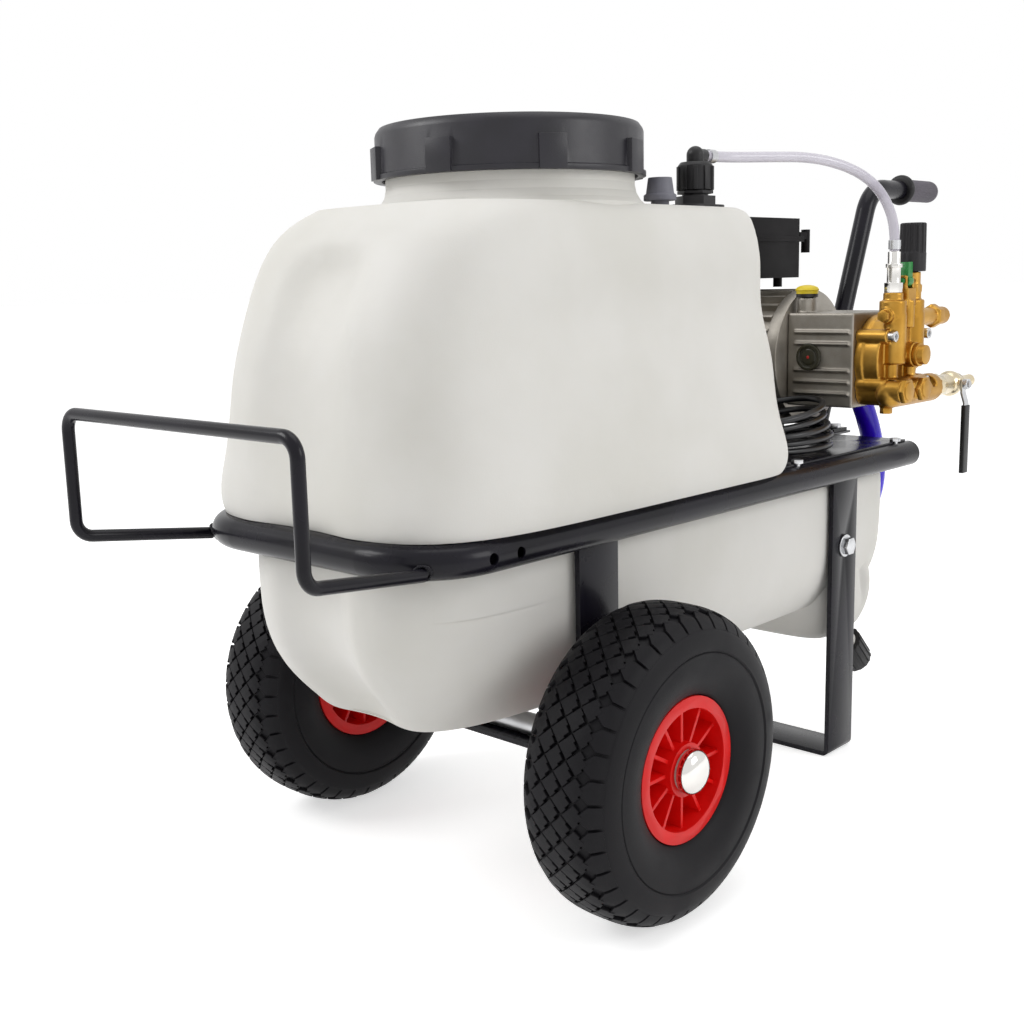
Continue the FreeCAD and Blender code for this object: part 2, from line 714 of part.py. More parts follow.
def make_handle():
    foot_top = plate_top + s.foot_plate
    plate = block("foot_plate", s.foot_length, s.foot_width, s.foot_plate, tab_x, s.handle_y,
                  plate_top)
    holes = [rod("foot_hole", s.foot_bolt / 2, s.foot_plate, x, y, plate_top)
             for x, y in foot_bolt_places]
    corners = [point(tab_x, s.handle_y, foot_top),
               point(tab_x + s.handle_lean, s.handle_y, s.handle_height),
               point(tab_x + s.handle_lean + s.handle_top - s.grip_wall, s.handle_y,
                     s.handle_height)]
    radius = s.handle_diameter.value / 2
    tube = tube_along("handle_bend", corners, [s.handle_bend.value], radius,
                      radius - s.handle_wall.value)
    floor = block("under_foot", 60, 60, 20, tab_x, s.handle_y, foot_top - 20)
    upright = cut("handle_upright", tube, floor)
    keep("handle_tube", fuse("handle_tube", cut("handle_foot", plate, *holes), upright))
    plate_fixings.extend(bolt_down("handle_bolt", foot_bolt_places, foot_top, s.foot_bolt / 2,
                                   s.foot_plate + s.plate_thickness + 9))
    end = tab_x + s.handle_lean + s.handle_top
    outer, bore = s.grip_diameter / 2, s.handle_diameter / 2
    profile = [(bore, 0), (outer, 0), (outer, s.grip_length - 8), (outer - 3, s.grip_length - 2),
               (outer - 6, s.grip_length), (0, s.grip_length), (0, s.grip_length - s.grip_wall),
               (bore, s.grip_length - s.grip_wall)]
    start = end - s.grip_length
    sleeve = turned("grip_sleeve", profile, start, s.handle_y, s.handle_height, "+X")
    rim = s.collar_diameter / 2
    collar = [(bore, 0), (rim - 2, 0), (rim, 2), (rim, s.collar_width - 2),
              (rim - 2, s.collar_width), (bore, s.collar_width)]
    guard = turned("grip_collar", collar, start - s.collar_width, s.handle_y, s.handle_height, "+X")
    keep("handle_grip", fuse("handle_grip", sleeve, guard))


make_handle()

# Tank

def plan_outline(front, rear, half_width, groove, front_square=4.4, rear_square=14, steps=72):
    """Points on a rounded-square outline with a groove down the middle of its front."""
    centre, half_length = (rear - front) / 2, (rear + front) / 2
    spread = s.groove_half_width.value * (2 - groove / s.groove_depth.value)
    points = []
    for step in range(steps):
        angle = 2 * math.pi * (step + 0.5) / steps
        across, along_side = math.cos(angle), math.sin(angle)
        squareness = rear_square if across > 0 else front_square
        x = centre + half_length * math.copysign(abs(across) ** (2 / squareness), across)
        y = half_width * math.copysign(abs(along_side) ** (2 / squareness), along_side)
        if x < centre:
            x += groove * math.exp(-(y / spread) ** 2)
        points.append((x, y))
    return points


def section(height, front, rear, half_width, groove):
    curve = Part.BSplineCurve()
    points = [Vector(axle_x.value + x, y, height)
              for x, y in plan_outline(front, rear, half_width, groove)]
    curve.interpolate(Points=points, PeriodicFlag=True)
    return Part.Wire(curve.toShape())


def loft(rows, inset=0, ruled=False):
    wires = [section(height, front - inset, rear - inset, half_width - inset, groove)
             for height, front, rear, half_width, groove in rows]
    return Part.makeLoft(wires, True, ruled)


def lower_rows(wall):
    """Heights and half sizes of the tank below the frame, a wall's thickness in."""
    rear, wide, shelf = s.tank_rear.value, s.tank_half_width.value, s.shelf_height.value
    floor, deep = s.tank_bottom.value, s.groove_depth.value
    front = s.upper_front.value - 8
    return [(floor + wall, front - 53, rear - 36, wide - 37, deep * 0.2),
            (floor + 9 + wall * 0.6, front - 43, rear - 17, wide - 18, deep * 0.5),
            (floor + 24 + wall * 0.3, front - 31, rear - 8, wide - 9, deep * 0.7),
            (floor + 48, front - 15, rear - 3, wide - 2, deep * 0.9),
            (floor + 82, front - 3, rear, wide, deep),
            (shelf - 16, front, rear + 1, wide, deep),
            (shelf - 5 - wall * 0.6, front, rear - 1, wide - 1, deep),
            (shelf - wall, front - 1, rear - 8, wide - 4, deep)]


def waist_rows(wall):
    wide, front = s.waist_half_width.value, s.waist_front.value
    low, high = s.shelf_height.value - 40, tank_seat.value + 20
    rear = s.upper_rear.value - 3
    return [(low, front, rear, wide, s.groove_depth.value - 6),
            (high, front, rear, wide, s.groove_depth.value - 6)]


def upper_rows(wall):
    seat, top = tank_seat.value, s.tank_top.value
    front, rear, wide = s.upper_front.value, s.upper_rear.value, s.upper_half_width.value
    crown_front, crown_wide, deep = s.top_front.value, s.top_half_width.value, s.groove_depth.value
    return [(seat + wall, front - 1, rear - 1, wide - 2, deep),
            (seat + 4 + wall, front, rear + 2, wide, deep),
            (seat + 52, front - 4, rear - 1, wide - 4, deep),
            (seat + 114, front - 11, rear - 4, wide - 14, deep * 0.98),
            (seat + 155, front - 20, rear - 9, wide - 22, deep * 0.88),
            (top - 47, crown_front + 50, rear - 10, crown_wide + 25, deep * 0.4),
            (top - 31, crown_front + 40, rear - 10, crown_wide + 22, deep * 0.12),
            (top - 16 - wall * 0.3, crown_front + 25, rear - 10.5, crown_wide + 17, 0),
            (top - 6 - wall * 0.6, crown_front + 9, rear - 12, crown_wide + 11, 0),
            (top - wall, crown_front - 1, rear - 17, crown_wide + 1, 0)]


def step_block(wall):
    """The shoulder behind the waist, under the pump plate."""
    low, high = s.shelf_height.value - 30, tube_top.value - 8
    front, rear, wide = 60, s.waist_rear.value, s.waist_half_width.value - 1
    rows = [(low, -front, rear, wide, 0), (high - 10 - wall * 0.6, -front, rear - 5, wide - 2, 0),
            (high - wall, -front, rear - 12, wide - 8, 0)]
    return loft(rows, wall)


def sump_block(wall):
    """The bulge under the tank's rear, where it drains."""
    front, rear, wide = s.sump_front.value, s.sump_rear.value, s.sump_half_width.value
    low, high = s.sump_bottom.value, s.tank_bottom.value + 40
    rows = [(low + wall, -front - 22, rear - 22, wide - 22, 0),
            (low + 7 + wall * 0.6, -front - 9, rear - 8, wide - 8, 0),
            (low + 22, -front, rear, wide, 0), (high, -front + 16, rear + 3, wide + 2, 0)]
    return loft(rows, wall)


def neck_block(wall):
    x, radius = neck_x.value, s.neck_radius.value
    base, top = s.tank_top.value, s.neck_top.value
    flare = radius + s.neck_flare.value
    corners = [(0, base - 24 - wall), (radius - 1 - wall, base - 24 - wall),
               (flare - 3 - wall, base - 8 - wall), (flare - wall, base - 3 - wall),
               (flare - 1 - wall, base + 1 - wall), (flare - 5 - wall, base + 5 - wall * 0.7),
               (radius + 1.5 - wall, base + 11 - wall * 0.4), (radius - wall, base + 18)]
    if not wall:
        for turn_of_thread in range(2):
            low = base + 32 + turn_of_thread * 10
            corners += [(radius, low - 2), (radius + 2, low), (radius + 2, low + 2), (radius, low + 4)]
    corners += [(radius - wall, top + wall), (0, top + wall)]
    face = Part.Face(Part.makePolygon([Vector(x + r, 0, z) for r, z in corners + corners[:1]]))
    return face.revolve(Vector(x, 0, 0), Vector(0, 0, 1), 360)


def tank_form(wall):
    pieces = [loft(rows(wall), wall) for rows in (lower_rows, waist_rows, upper_rows)]
    pieces += [step_block(wall), sump_block(wall), neck_block(wall)]
    return pieces[0].multiFuse(pieces[1:])


# The suction hose's route: hand-placed points, from the pump's spigot to the tank's elbow

suction_corners = [point(axle_x + x, y, z) for x, y, z in (
    (535.8, -74.1, 399), (538.5, -81, 375.5), (547.5, -86.5, 350), (555, -89.5, 324),
    (557, -93, 292), (556, -90, 263), (554, -79, 237), (551, -62, 213.6), (550, -53.5, 193))]
pump_heading = (suction_corners[1] - suction_corners[0]).normalize()
tank_heading = (suction_corners[-2] - suction_corners[-1]).normalize()
pump_spigot = Rotation(Vector(0, 0, 1), pump_heading)
tank_spigot = Rotation(Vector(0, 0, 1), tank_heading)
chamber = suction_corners[0] - pump_heading * s.suction_drop.value
elbow_foot = suction_corners[-1] - tank_heading * 24

outlet_place = Placement(point(axle_x + s.sump_rear - 17, s.outlet_y, s.outlet_height),
                         Rotation(Vector(0, 1, 0), s.outlet_angle.value))


def along_outlet(radius, start, length):
    """A rod on the outlet's axis, which points down and to the rear."""
    base = outlet_place.multVec(Vector(0, 0, start))
    return Part.makeCylinder(radius, length, base, outlet_place.Rotation.multVec(Vector(0, 0, 1)))


def along_suction(radius, length):
    """A rod inwards from the face of the boss in the tank's rear, for the suction elbow."""
    base = point(axle_x + s.suction_face, elbow_foot.y, elbow_foot.z)
    return Part.makeCylinder(radius, length, base, Vector(-1, 0, 0))


def make_tank():
    outer, inner = tank_form(0), tank_form(s.wall.value)
    x = (axle_x + s.rear_strap_x).value
    bolt_y = (s.strap_half_width - s.strap_thickness).value
    height, length = s.strap_bolt_height.value, s.insert_length.value
    hole = s.insert_diameter.value / 2
    for side in (-1, 1):
        inward = Vector(0, -side, 0)
        boss = Part.makeCylinder(hole + s.boss_wall.value, length + s.boss_wall.value,
                                 Vector(x, bolt_y * side, height), inward)
        inner = inner.cut(boss)
        outer = outer.fuse(boss.common(Part.makeBox(200, 2 * bolt_y - 1, 200,
                                                    Vector(x - 100, 0.5 - bolt_y, height - 100))))
        outer = outer.cut(Part.makeCylinder(hole, length, Vector(x, bolt_y * side, height), inward))
    spout = along_outlet(s.spout_diameter.value / 2, -20, 34)
    boss = along_suction(s.suction_boss.value, 36)
    bores = [along_outlet(s.spout_diameter.value / 2 - 4, -30, 60),
             along_suction(s.suction_stub.value, 60)]
    for x, y, radius in ((s.return_x, s.return_y, s.return_bore), (s.vent_x, s.vent_y, as_size(8))):
        bores.append(Part.makeCylinder(radius.value, 40, point(axle_x + x, y, s.tank_top - 25)))
    vent_seat = point(axle_x + s.vent_x, s.vent_y, s.tank_top + s.vent_base)
    bores.append(Part.makeCylinder(s.vent_diameter.value / 2 + 0.5, 30, vent_seat))
    shell = outer.fuse(spout).cut(inner).fuse(boss)
    for bore in bores:
        shell = shell.cut(bore)
    keep("tank", feature("tank", shell))


make_tank()

# Lid

seat_height = s.neck_top + s.strainer_rim + s.gap
disc_height = seat_height + s.seal_thickness
lip_height = disc_height + s.disc_thickness + s.gap


def star(name, count, reach, width, height, x, y, z, axis="+Z"):
    """Spokes from the centre, as a tool or as ribs."""
    body = doc.addObject("PartDesign::Body", name)
    half = as_size(width) / 2
    spoke = add_pad(body, name + "_spoke", [(0, -half), (reach, -half), (reach, half), (0, half)],
                    height)
    repeat(body, name + "_spokes", spoke, count)
    return place(body, x, y, z, axis)


def make_lid():
    inner, outer, crown = s.ring_radius - s.ring_wall, s.ring_radius, s.ring_crown_radius
    top, lip = s.ring_top - s.ring_bottom, lip_height - s.ring_bottom
    shoulder = s.neck_top + s.strainer_rim + 0.5 - s.ring_bottom
    hole = s.disc_radius - s.ring_lip
    profile = [(inner, 0), (outer + 2, 0), (outer + 2, 4), (outer, 5), (outer, top - 7),
               (outer - 1, top - 4), (crown, top), (hole, top), (hole, lip),
               (s.disc_radius + 1, lip), (s.disc_radius + 1, shoulder), (inner, shoulder)]
    ring = turned("lid_ring", profile, neck_x, 0, s.ring_bottom,
                  Rotation(Vector(0, 0, 1), s.lug_turn.value))
    half, near = s.lug_width / 2, outer - 2
    far = outer + s.lug_depth
    lug = add_pad(ring, "lug", [(near, -half), (far, -half), (far, half), (near, half)],
                  s.lug_height)
    repeat(ring, "lugs", lug, s.lug_count)
    keep("lid_ring", ring)
    plateau, thick = hole - 1.5, s.disc_thickness
    disc = [(0, thick - 1), (plateau - 6, thick - 1), (plateau - 8, 0), (s.disc_radius, 0),
            (s.disc_radius, thick), (plateau, thick), (plateau - 2, thick + 4),
            (plateau - 12, thick + 5), (0, thick + 5)]
    keep("lid_disc", turned("lid_disc", disc, neck_x, 0, disc_height))
    seal_outer = s.disc_radius - 1
    seal = [(seal_outer - 10, 0), (seal_outer, 0), (seal_outer, s.seal_thickness),
            (seal_outer - 10, s.seal_thickness)]
    keep("lid_seal", turned("lid_seal", seal, neck_x, 0, seat_height))


def make_strainer():
    rim, depth = s.neck_radius - 1, s.strainer_depth
    wall = s.neck_radius - s.wall - s.strainer_gap
    bottom = wall - 4
    profile = [(0, -depth), (bottom, -depth), (wall, 0), (rim, 0), (rim, s.strainer_rim),
               (wall - s.strainer_wall, s.strainer_rim),
               (bottom - s.strainer_wall, s.strainer_wall - depth),
               (0, s.strainer_wall - depth)]
    cup = turned("strainer_cup", profile, neck_x, 0, s.neck_top)
    slots = [star("strainer_slots", as_size(12), wall + 5, 22, 34, neck_x, 0,
                  s.neck_top - depth + 16 + 44 * row) for row in range(3)]
    keep("strainer_basket", cut("strainer_basket", cup, *slots))


def make_vent():
    foot, stem = s.vent_diameter / 2, 8
    profile = [(0, -10), (stem, -10), (stem, 0), (foot, 0), (foot, 5), (foot - 2, 6),
               (foot - 4, s.vent_height), (0, s.vent_height)]
    keep("vent_cap", turned("vent_cap", profile, axle_x + s.vent_x, s.vent_y,
                            s.tank_top + s.vent_base))


# Return fitting on the tank

return_x = axle_x + s.return_x
flange_top = s.tank_top + s.return_flange
barb_height = s.tank_top + s.return_height


def clamp_ring(name, x, y, z, axis):
    outer = s.hose_diameter / 2 + s.clamp_wall
    solid = rod(name + "_band", outer, s.clamp_width, x, y, z, axis)
    bore = rod(name + "_bore", s.hose_diameter / 2, s.clamp_width, x, y, z, axis)
    return cut(name, solid, bore)


def make_return_fitting():
    x, y, stem = return_x, s.return_y, s.return_stem / 2
    end = (s.return_flange_length - s.return_flange_width) / 2
    flat = [block("flange_flat", end * 2, s.return_flange_width, s.return_flange, x, y,
                  s.tank_top)]
    for side in (-1, 1):
        flat.append(rod("flange_end", s.return_flange_width / 2, s.return_flange, x + end * side,
                        y, s.tank_top))
    nut_base = barb_height + 1.5 - s.elbow_diameter / 2 - s.return_nut_height
    body = [rod("adaptor_shank", s.return_bore, s.return_flange + 16, x, y, s.tank_top - 16),
            hexagon("adaptor_hex", s.return_stem * 1.35, 8, x, y, flange_top),
            rod("adaptor_neck", stem, nut_base + 6 - flange_top, x, y, flange_top),
            hexagon("adaptor_upper_hex", s.return_stem * 1.2, 3, x, y, flange_top + 10),
            hexagon("adaptor_lock_nut", s.return_stem * 1.2, 7, x, y, s.tank_top - s.wall - 7)]
    bore = rod("adaptor_bore", s.hose_bore / 2, 90, x, y, s.tank_top - 30)
    keep("return_adaptor", cut("return_adaptor", fuse("adaptor_body", *flat, *body), bore))
    outer, throat = s.return_nut_diameter / 2, s.elbow_diameter / 2
    profile = [(stem, 0), (outer - 1.5, 0), (outer - 1.5, s.return_nut_height - 3),
               (outer - 4, s.return_nut_height), (throat, s.return_nut_height),
               (throat, 10), (stem, 7)]
    nut = turned("return_nut", profile, x, y, nut_base)
    rib = add_pad(nut, "nut_rib", [(outer - 3, -2), (outer, -2), (outer, 2), (outer - 3, 2)],
                  s.return_nut_height - 4)
    repeat(nut, "nut_ribs", rib, as_size(10))
    keep("return_nut", nut)
    upright = rod("elbow_upright", throat, barb_height - nut_base - 10, x, y, nut_base + 10)
    elbow = [upright,
             ball("elbow_top", throat, x, y, barb_height, corner_axis((0, 0, -1), (1, 0, 0))),
             rod("elbow_arm", throat - 2, 14, x, y, barb_height, "+X"),
             rod("elbow_barb", s.hose_bore / 2, 14 + s.barb_length, x, y, barb_height, "+X")]
    bores = [rod("elbow_bore", s.hose_bore / 2 - 1.2, barb_height - nut_base, x, y, nut_base),
             rod("barb_bore", s.hose_bore / 2 - 1.2, 60, x, y, barb_height, "+X")]
    keep("return_elbow", cut("return_elbow", fuse("elbow_body", *elbow), *bores))


make_lid()
make_strainer()
make_vent()
make_return_fitting()

# Motor

motor_front = s.motor_front
motor_back = s.motor_front + s.motor_length
core_radius = s.motor_radius - s.motor_wall
shield_end = motor_back + s.shield_thickness
cowl_end = shield_end + s.cowl_length


def make_motor():
    x, z = pump_x, s.pump_axis
    shell = turned("motor_shell", [(core_radius, 0), (s.motor_radius, 0),
                                   (s.motor_radius, s.motor_length), (core_radius, s.motor_length)],
                   x, motor_front, z, "+Y")
    half, tip = s.fin_thickness / 2, s.motor_radius + s.fin_depth
    fin = add_pad(shell, "motor_fin", [(s.motor_radius - 1, -half), (tip, -half), (tip, half),
                                       (s.motor_radius - 1, half)], s.motor_length)
    repeat(shell, "motor_fins", fin, s.fin_count)
    rails = []
    for side in (-1, 1):
        rails.append(block("foot_rail", s.foot_rail, s.foot_length_y,
                           s.pump_axis - s.motor_radius + 12 - plate_top,
                           x + s.foot_spread / 2 * side, motor_back - s.foot_length_y / 2 - 5,
                           plate_top))
    bore = rod("foot_clear", core_radius, s.motor_length, x, motor_front, z, "+Y")
    holes = [rod("foot_bolt_hole", s.foot_bolt / 2, 60, fx, fy, plate_top)
             for fx, fy in foot_places]
    pockets = [rod("foot_pocket", s.foot_bolt, 60, fx, fy, plate_top + 10)
               for fx, fy in foot_places]
    keep("motor_housing", cut("motor_housing", fuse("motor_body", shell, *rails), bore, *holes,
                              *pockets))
    plate_fixings.extend(bolt_down("motor_bolt", foot_places, plate_top + 10, s.foot_bolt / 2,
                                   10 + s.plate_thickness + 8))
    keep("plate_bolts", group("plate_bolt_set", *plate_fixings))
    stator_start = motor_front + (s.motor_length - s.stator_length) / 2
    solid = rod("stator_core", core_radius, s.stator_length, x, stator_start, z, "+Y")
    hollow = rod("stator_bore", s.rotor_radius + s.air_gap, s.stator_length, x, stator_start, z, "+Y")
    keep("stator", cut("stator", solid, hollow))
    rotor = rod("rotor_core", s.rotor_radius, s.stator_length, x, stator_start, z, "+Y")
    rotor_bore = rod("rotor_bore", s.shaft_diameter / 2, s.stator_length, x, stator_start, z, "+Y")
    keep("rotor", cut("rotor", rotor, rotor_bore))
    make_shields(x, z)


def make_shields(x, z):
    seat, bore = s.bearing_diameter / 2, s.shaft_diameter / 2
    outer, thick = s.motor_radius + s.fin_depth - 1, s.shield_thickness
    inset = thick - s.bearing_width
    step, spigot = thick - s.cowl_seat, outer - s.cowl_wall
    rear = turned("rear_shield", [(seat, 0), (outer, 0), (outer, step), (spigot, step),
                                  (spigot, thick), (bore + 3, thick), (bore + 3, thick - 3),
                                  (seat, thick - 3)], x, motor_back, z, "+Y")
    front = turned("drive_shield", [(seat, 0), (outer, 0), (outer, thick), (bore + 3, thick),
                                    (bore + 3, thick - 3), (seat, thick - 3)],
                   x, motor_front, z, "-Y")
    keep("motor_shields", group("shield_pair", rear, front))
    rings = []
    for start in (motor_back + thick - 3 - s.bearing_width, motor_front - thick + 3):
        ring = rod("bearing_ring", seat, s.bearing_width, x, start, z, "+Y")
        hole = rod("bearing_hole", bore + s.running_fit, s.bearing_width, x, start, z, "+Y")
        rings.append(cut("bearing", ring, hole))
    keep("motor_bearings", group("bearing_pair", *rings))
    radius, mouth = outer, -s.cowl_seat
    profile = [(radius - s.cowl_wall, mouth), (radius, mouth), (radius, s.cowl_length - 6),
               (radius - 5, s.cowl_length), (0, s.cowl_length), (0, s.cowl_length - s.cowl_wall),
               (radius - 5 - s.cowl_wall, s.cowl_length - s.cowl_wall),
               (radius - s.cowl_wall, s.cowl_length - 7)]
    cowl = turned("fan_cowl_cup", profile, x, shield_end, z, "+Y")
    slots = star("cowl_slots", as_size(16), radius - 12, 4, 10, x, cowl_end - 6, z, "+Y")
    hub = rod("cowl_hub", 18, 10, x, cowl_end - 6, z, "+Y")
    keep("fan_cowl", cut("fan_cowl", cowl, cut("cowl_grille", slots, hub)))


make_motor()

# Shaft and fan

crank_face = s.motor_front - s.shield_thickness - s.gap
crank_end = crank_face - s.crank_depth
cam_end = s.plunger_start + 3


def make_shaft():
    x, z = pump_x, s.pump_axis
    fan_y = shield_end + 8
    bore = s.shaft_diameter / 2
    spindle = rod("shaft_spindle", bore, fan_y + 22 - cam_end - 8, x, cam_end + 8, z, "+Y")
    disc = rod("cam_blank", s.cam_radius, s.cam_thickness, x, cam_end + s.cam_thickness, z, "-Y")
    tilted = Rotation(Vector(1, 0, 0), 90 + s.cam_tilt.value)
    slope = rod("cam_slope", s.cam_radius * 2, 30, x, cam_end + 4, z, tilted)
    keep("motor_shaft", fuse("motor_shaft", spindle, cut("cam_disc", disc, slope)))
    hub = turned("fan_hub", [(bore, 0), (20, 0), (20, 18), (bore, 18)], x, fan_y, z, "+Y")
    blade = add_pad(hub, "fan_blade", [(19, -1.2), (s.fan_radius, -1.2), (s.fan_radius, 1.2),
                                       (19, 1.2)], as_size(16))
    repeat(hub, "fan_blades", blade, s.fan_blades)
    keep("motor_fan", hub)


# Switch box

box_x = pump_x
box_seam = s.box_bottom + s.box_lower
box_middle = s.box_y + s.box_width / 2
rocker_y = box_middle
rocker_z = s.box_bottom + s.box_lower / 2
rocker_face = box_x + s.box_length / 2
pin_x = rocker_face - s.rocker_pin_depth


def tray(name, height, z, flange_at, extra=()):
    """A rectangular shell with a flange at its open side."""
    outer = block(name + "_outer", s.box_length, s.box_width, height, box_x, box_middle, z)
    flange = block(name + "_flange", s.box_length + s.box_flange * 2,
                   s.box_width + s.box_flange * 2, 3, box_x, box_middle, flange_at)
    return fuse(name + "_solid", outer, flange, *extra)


def make_box():
    wall = s.box_wall
    wide = s.box_length - wall * 2
    long = s.box_width - wall * 2
    pedestal = block("box_pedestal", 60, 70, s.box_bottom - s.pump_axis - s.motor_radius + 8,
                     box_x, box_middle, s.pump_axis + s.motor_radius - 8)
    motor_bore = rod("pedestal_clear", s.motor_radius + s.fin_depth, 90, box_x, box_middle - 45,
                     s.pump_axis, "+Y")
    stub = rod("box_stub", 5, 10, box_x + 30, s.box_y + 12, s.box_bottom - 10)
    base = tray("box_base", s.box_lower, s.box_bottom, box_seam - 3, [pedestal, stub])
    hollow = block("base_hollow", wide, long, s.box_lower, box_x, box_middle, s.box_bottom + wall)
    gland_hole = rod("gland_hole", s.cable_diameter / 2, 30,
                     box_x - s.box_length / 2 - 20, s.box_y + 30, rocker_z, "+X")
    gland = rod("cable_gland", 9, 16, box_x - s.box_length / 2 - 14, s.box_y + 30, rocker_z, "+X")
    window = block("rocker_window", 20, s.rocker_width + 2, 24, rocker_face, rocker_y,
                   rocker_z - 12)
    cheek_y = s.rocker_width / 2 + 1 + s.rocker_cheek / 2
    cheeks = [block("rocker_cheek", 10, s.rocker_cheek, 12, rocker_face - wall - 4,
                    rocker_y + cheek_y * side, rocker_z - 6) for side in (-1, 1)]
    pin_hole = rod("rocker_pin_hole", s.rocker_pin / 2 + s.running_fit, s.rocker_width + 8, pin_x,
                   rocker_y - s.rocker_width / 2 - 4, rocker_z, "+Y")
    shell = cut("box_shell", fuse("box_solid", base, gland), motor_bore, hollow, gland_hole,
                window)
    keep("switch_box_base", cut("switch_box_base", fuse("box_cheeks", shell, *cheeks), pin_hole))
    lug = [block("box_lug", 18, 8, 8, box_x + s.box_length / 2 + 11, s.box_y + 4, box_seam),
           rod("hinge_lug", 5, 26, box_x + s.box_length / 2 + 20, s.box_y + 4, box_seam - 15)]
    cover = tray("box_cover", s.box_upper, box_seam, box_seam, lug)
    lid_hollow = block("cover_hollow", wide, long, s.box_upper - wall, box_x, box_middle, box_seam)
    keep("switch_box_cover", cut("switch_box_cover", cover, lid_hollow))
    reach = s.rocker_width / 2
    rocker = padded("rocker", [(-9, -7), (1, -10), (3, 0), (1, 10), (-9, 7)], s.rocker_width,
                    rocker_face, rocker_y + reach, rocker_z, Rotation(Vector(1, 0, 0), 90))
    pin = rod("rocker_pin", s.rocker_pin / 2, s.rocker_width + s.rocker_cheek * 2, pin_x,
              rocker_y - reach - s.rocker_cheek, rocker_z, "+Y")
    keep("switch_rocker", fuse("switch_rocker", rocker, pin))


# Crankcase

crank_low = s.pump_axis - s.crank_height / 2
crank_side = s.crank_width / 2
crank_top = crank_low + s.crank_height
crank_middle = crank_face - s.crank_depth / 2
plunger_spots = []
for turn_of_plunger in (90, 210, 330):
    angle = math.radians(turn_of_plunger)
    plunger_spots.append((pump_x + s.plunger_circle * math.cos(angle),
                          s.pump_axis + s.plunger_circle * math.sin(angle)))


def make_crankcase():
    x, wall = pump_x, s.crank_wall
    body = [block("crank_block", s.crank_width, s.crank_depth, s.crank_height, x, crank_middle,
                  crank_low)]
    for rise in (-36, -24, -12, 16, 28):
        body.append(block("crank_fin", s.crank_width + s.crank_fin * 2, s.crank_depth - 12, 2.5, x,
                          crank_middle - 2, s.pump_axis + rise))
    oil_x = axle_x + s.oil_x
    body.append(rod("oil_neck", s.oil_neck, 16, oil_x, s.oil_y, crank_top))
    hollow = block("crank_hollow", s.crank_width - wall * 2, s.crank_depth - wall * 2,
                   s.crank_height - wall * 2, x, crank_middle, crank_low + wall)
    shaft_hole = rod("shaft_hole", s.shaft_diameter / 2 + 3, 30, x, crank_face, s.pump_axis, "-Y")
    oil_hole = rod("oil_hole", s.oil_neck - 4, 60, oil_x, s.oil_y, crank_top - wall - 6)
    glass_hole = rod("glass_hole", s.sight_diameter / 2 - 4, 20, x - crank_side - 5, s.sight_y,
                     s.sight_z, "+X")
    face = rod("glass_face", s.sight_diameter / 2, 10, x - crank_side, s.sight_y, s.sight_z, "-X")
    guides = [rod("plunger_guide", s.plunger_diameter / 2 + s.running_fit, wall * 2, px,
                  crank_end + wall + 3, pz, "-Y") for px, pz in plunger_spots]
    keep("crankcase", cut("crankcase", fuse("crank_body", *body), hollow, shaft_hole, oil_hole,
                          glass_hole, face, *guides))
    rim, stem = s.sight_diameter / 2, s.sight_diameter / 2 - 4
    profile = [(0, -wall), (stem, -wall), (stem, 0), (rim, 0), (rim, 4), (rim - 3, 4),
               (rim - 3, 2.5), (0, 2.5)]
    keep("sight_glass", turned("sight_glass", profile, x - crank_side, s.sight_y, s.sight_z, "-X"))
    plug, cap = s.oil_neck - 4 - s.gap, s.oil_cap_diameter / 2
    dome = arc_corners(cap, 5, 0, s.oil_cap_height - 5, (0, 30, 55, 75))
    profile = [(0, -9), (plug, -9), (plug, 0), (cap - 1, 0), (cap - 1, 7), (cap, 7)]
    keep("oil_cap", turned("oil_cap", profile + dome + [(0, s.oil_cap_height)], oil_x, s.oil_y,
                           crank_top + 16 + s.gap))
    for letter, (px, pz) in zip("abc", plunger_spots):
        label = "plunger_" + letter
        keep(label, rod(label, s.plunger_diameter / 2, s.plunger_length, px, s.plunger_start, pz,
                        "-Y"))


# Pump head

head_face = crank_end
head_front = crank_end - s.head_block
tower_middle = pump_x + s.tower_offset
tower_1 = tower_middle - s.tower_spread / 2
tower_2 = tower_middle + s.tower_spread / 2
boss_front = head_front + 2
head_screws = [(pump_x + s.screw_spread_x * a, s.pump_axis + s.screw_spread_z * b)
               for a in (-1, 1) for b in (-1, 1)]
valve_axis = s.manifold_z
cap_places = [axle_x + s.valve_cap_x + s.valve_cap_pitch * step for step in (0, 1)]
cap_height = s.manifold_z + s.valve_cap_rise


pipe_y = head_face - s.suction_pipe - s.gap
chamber_top = chamber + pump_heading * 7
drain_x = axle_x + s.valve_cap_x + 6
drain_y = s.manifold_y + 6
drain_top = s.manifold_z - s.manifold_radius - s.gap
bypass_middle = axle_x + s.bypass_x
cheek_offset = s.bypass_width / 2 + s.gap
cheek = 3.7
plug_z = 471


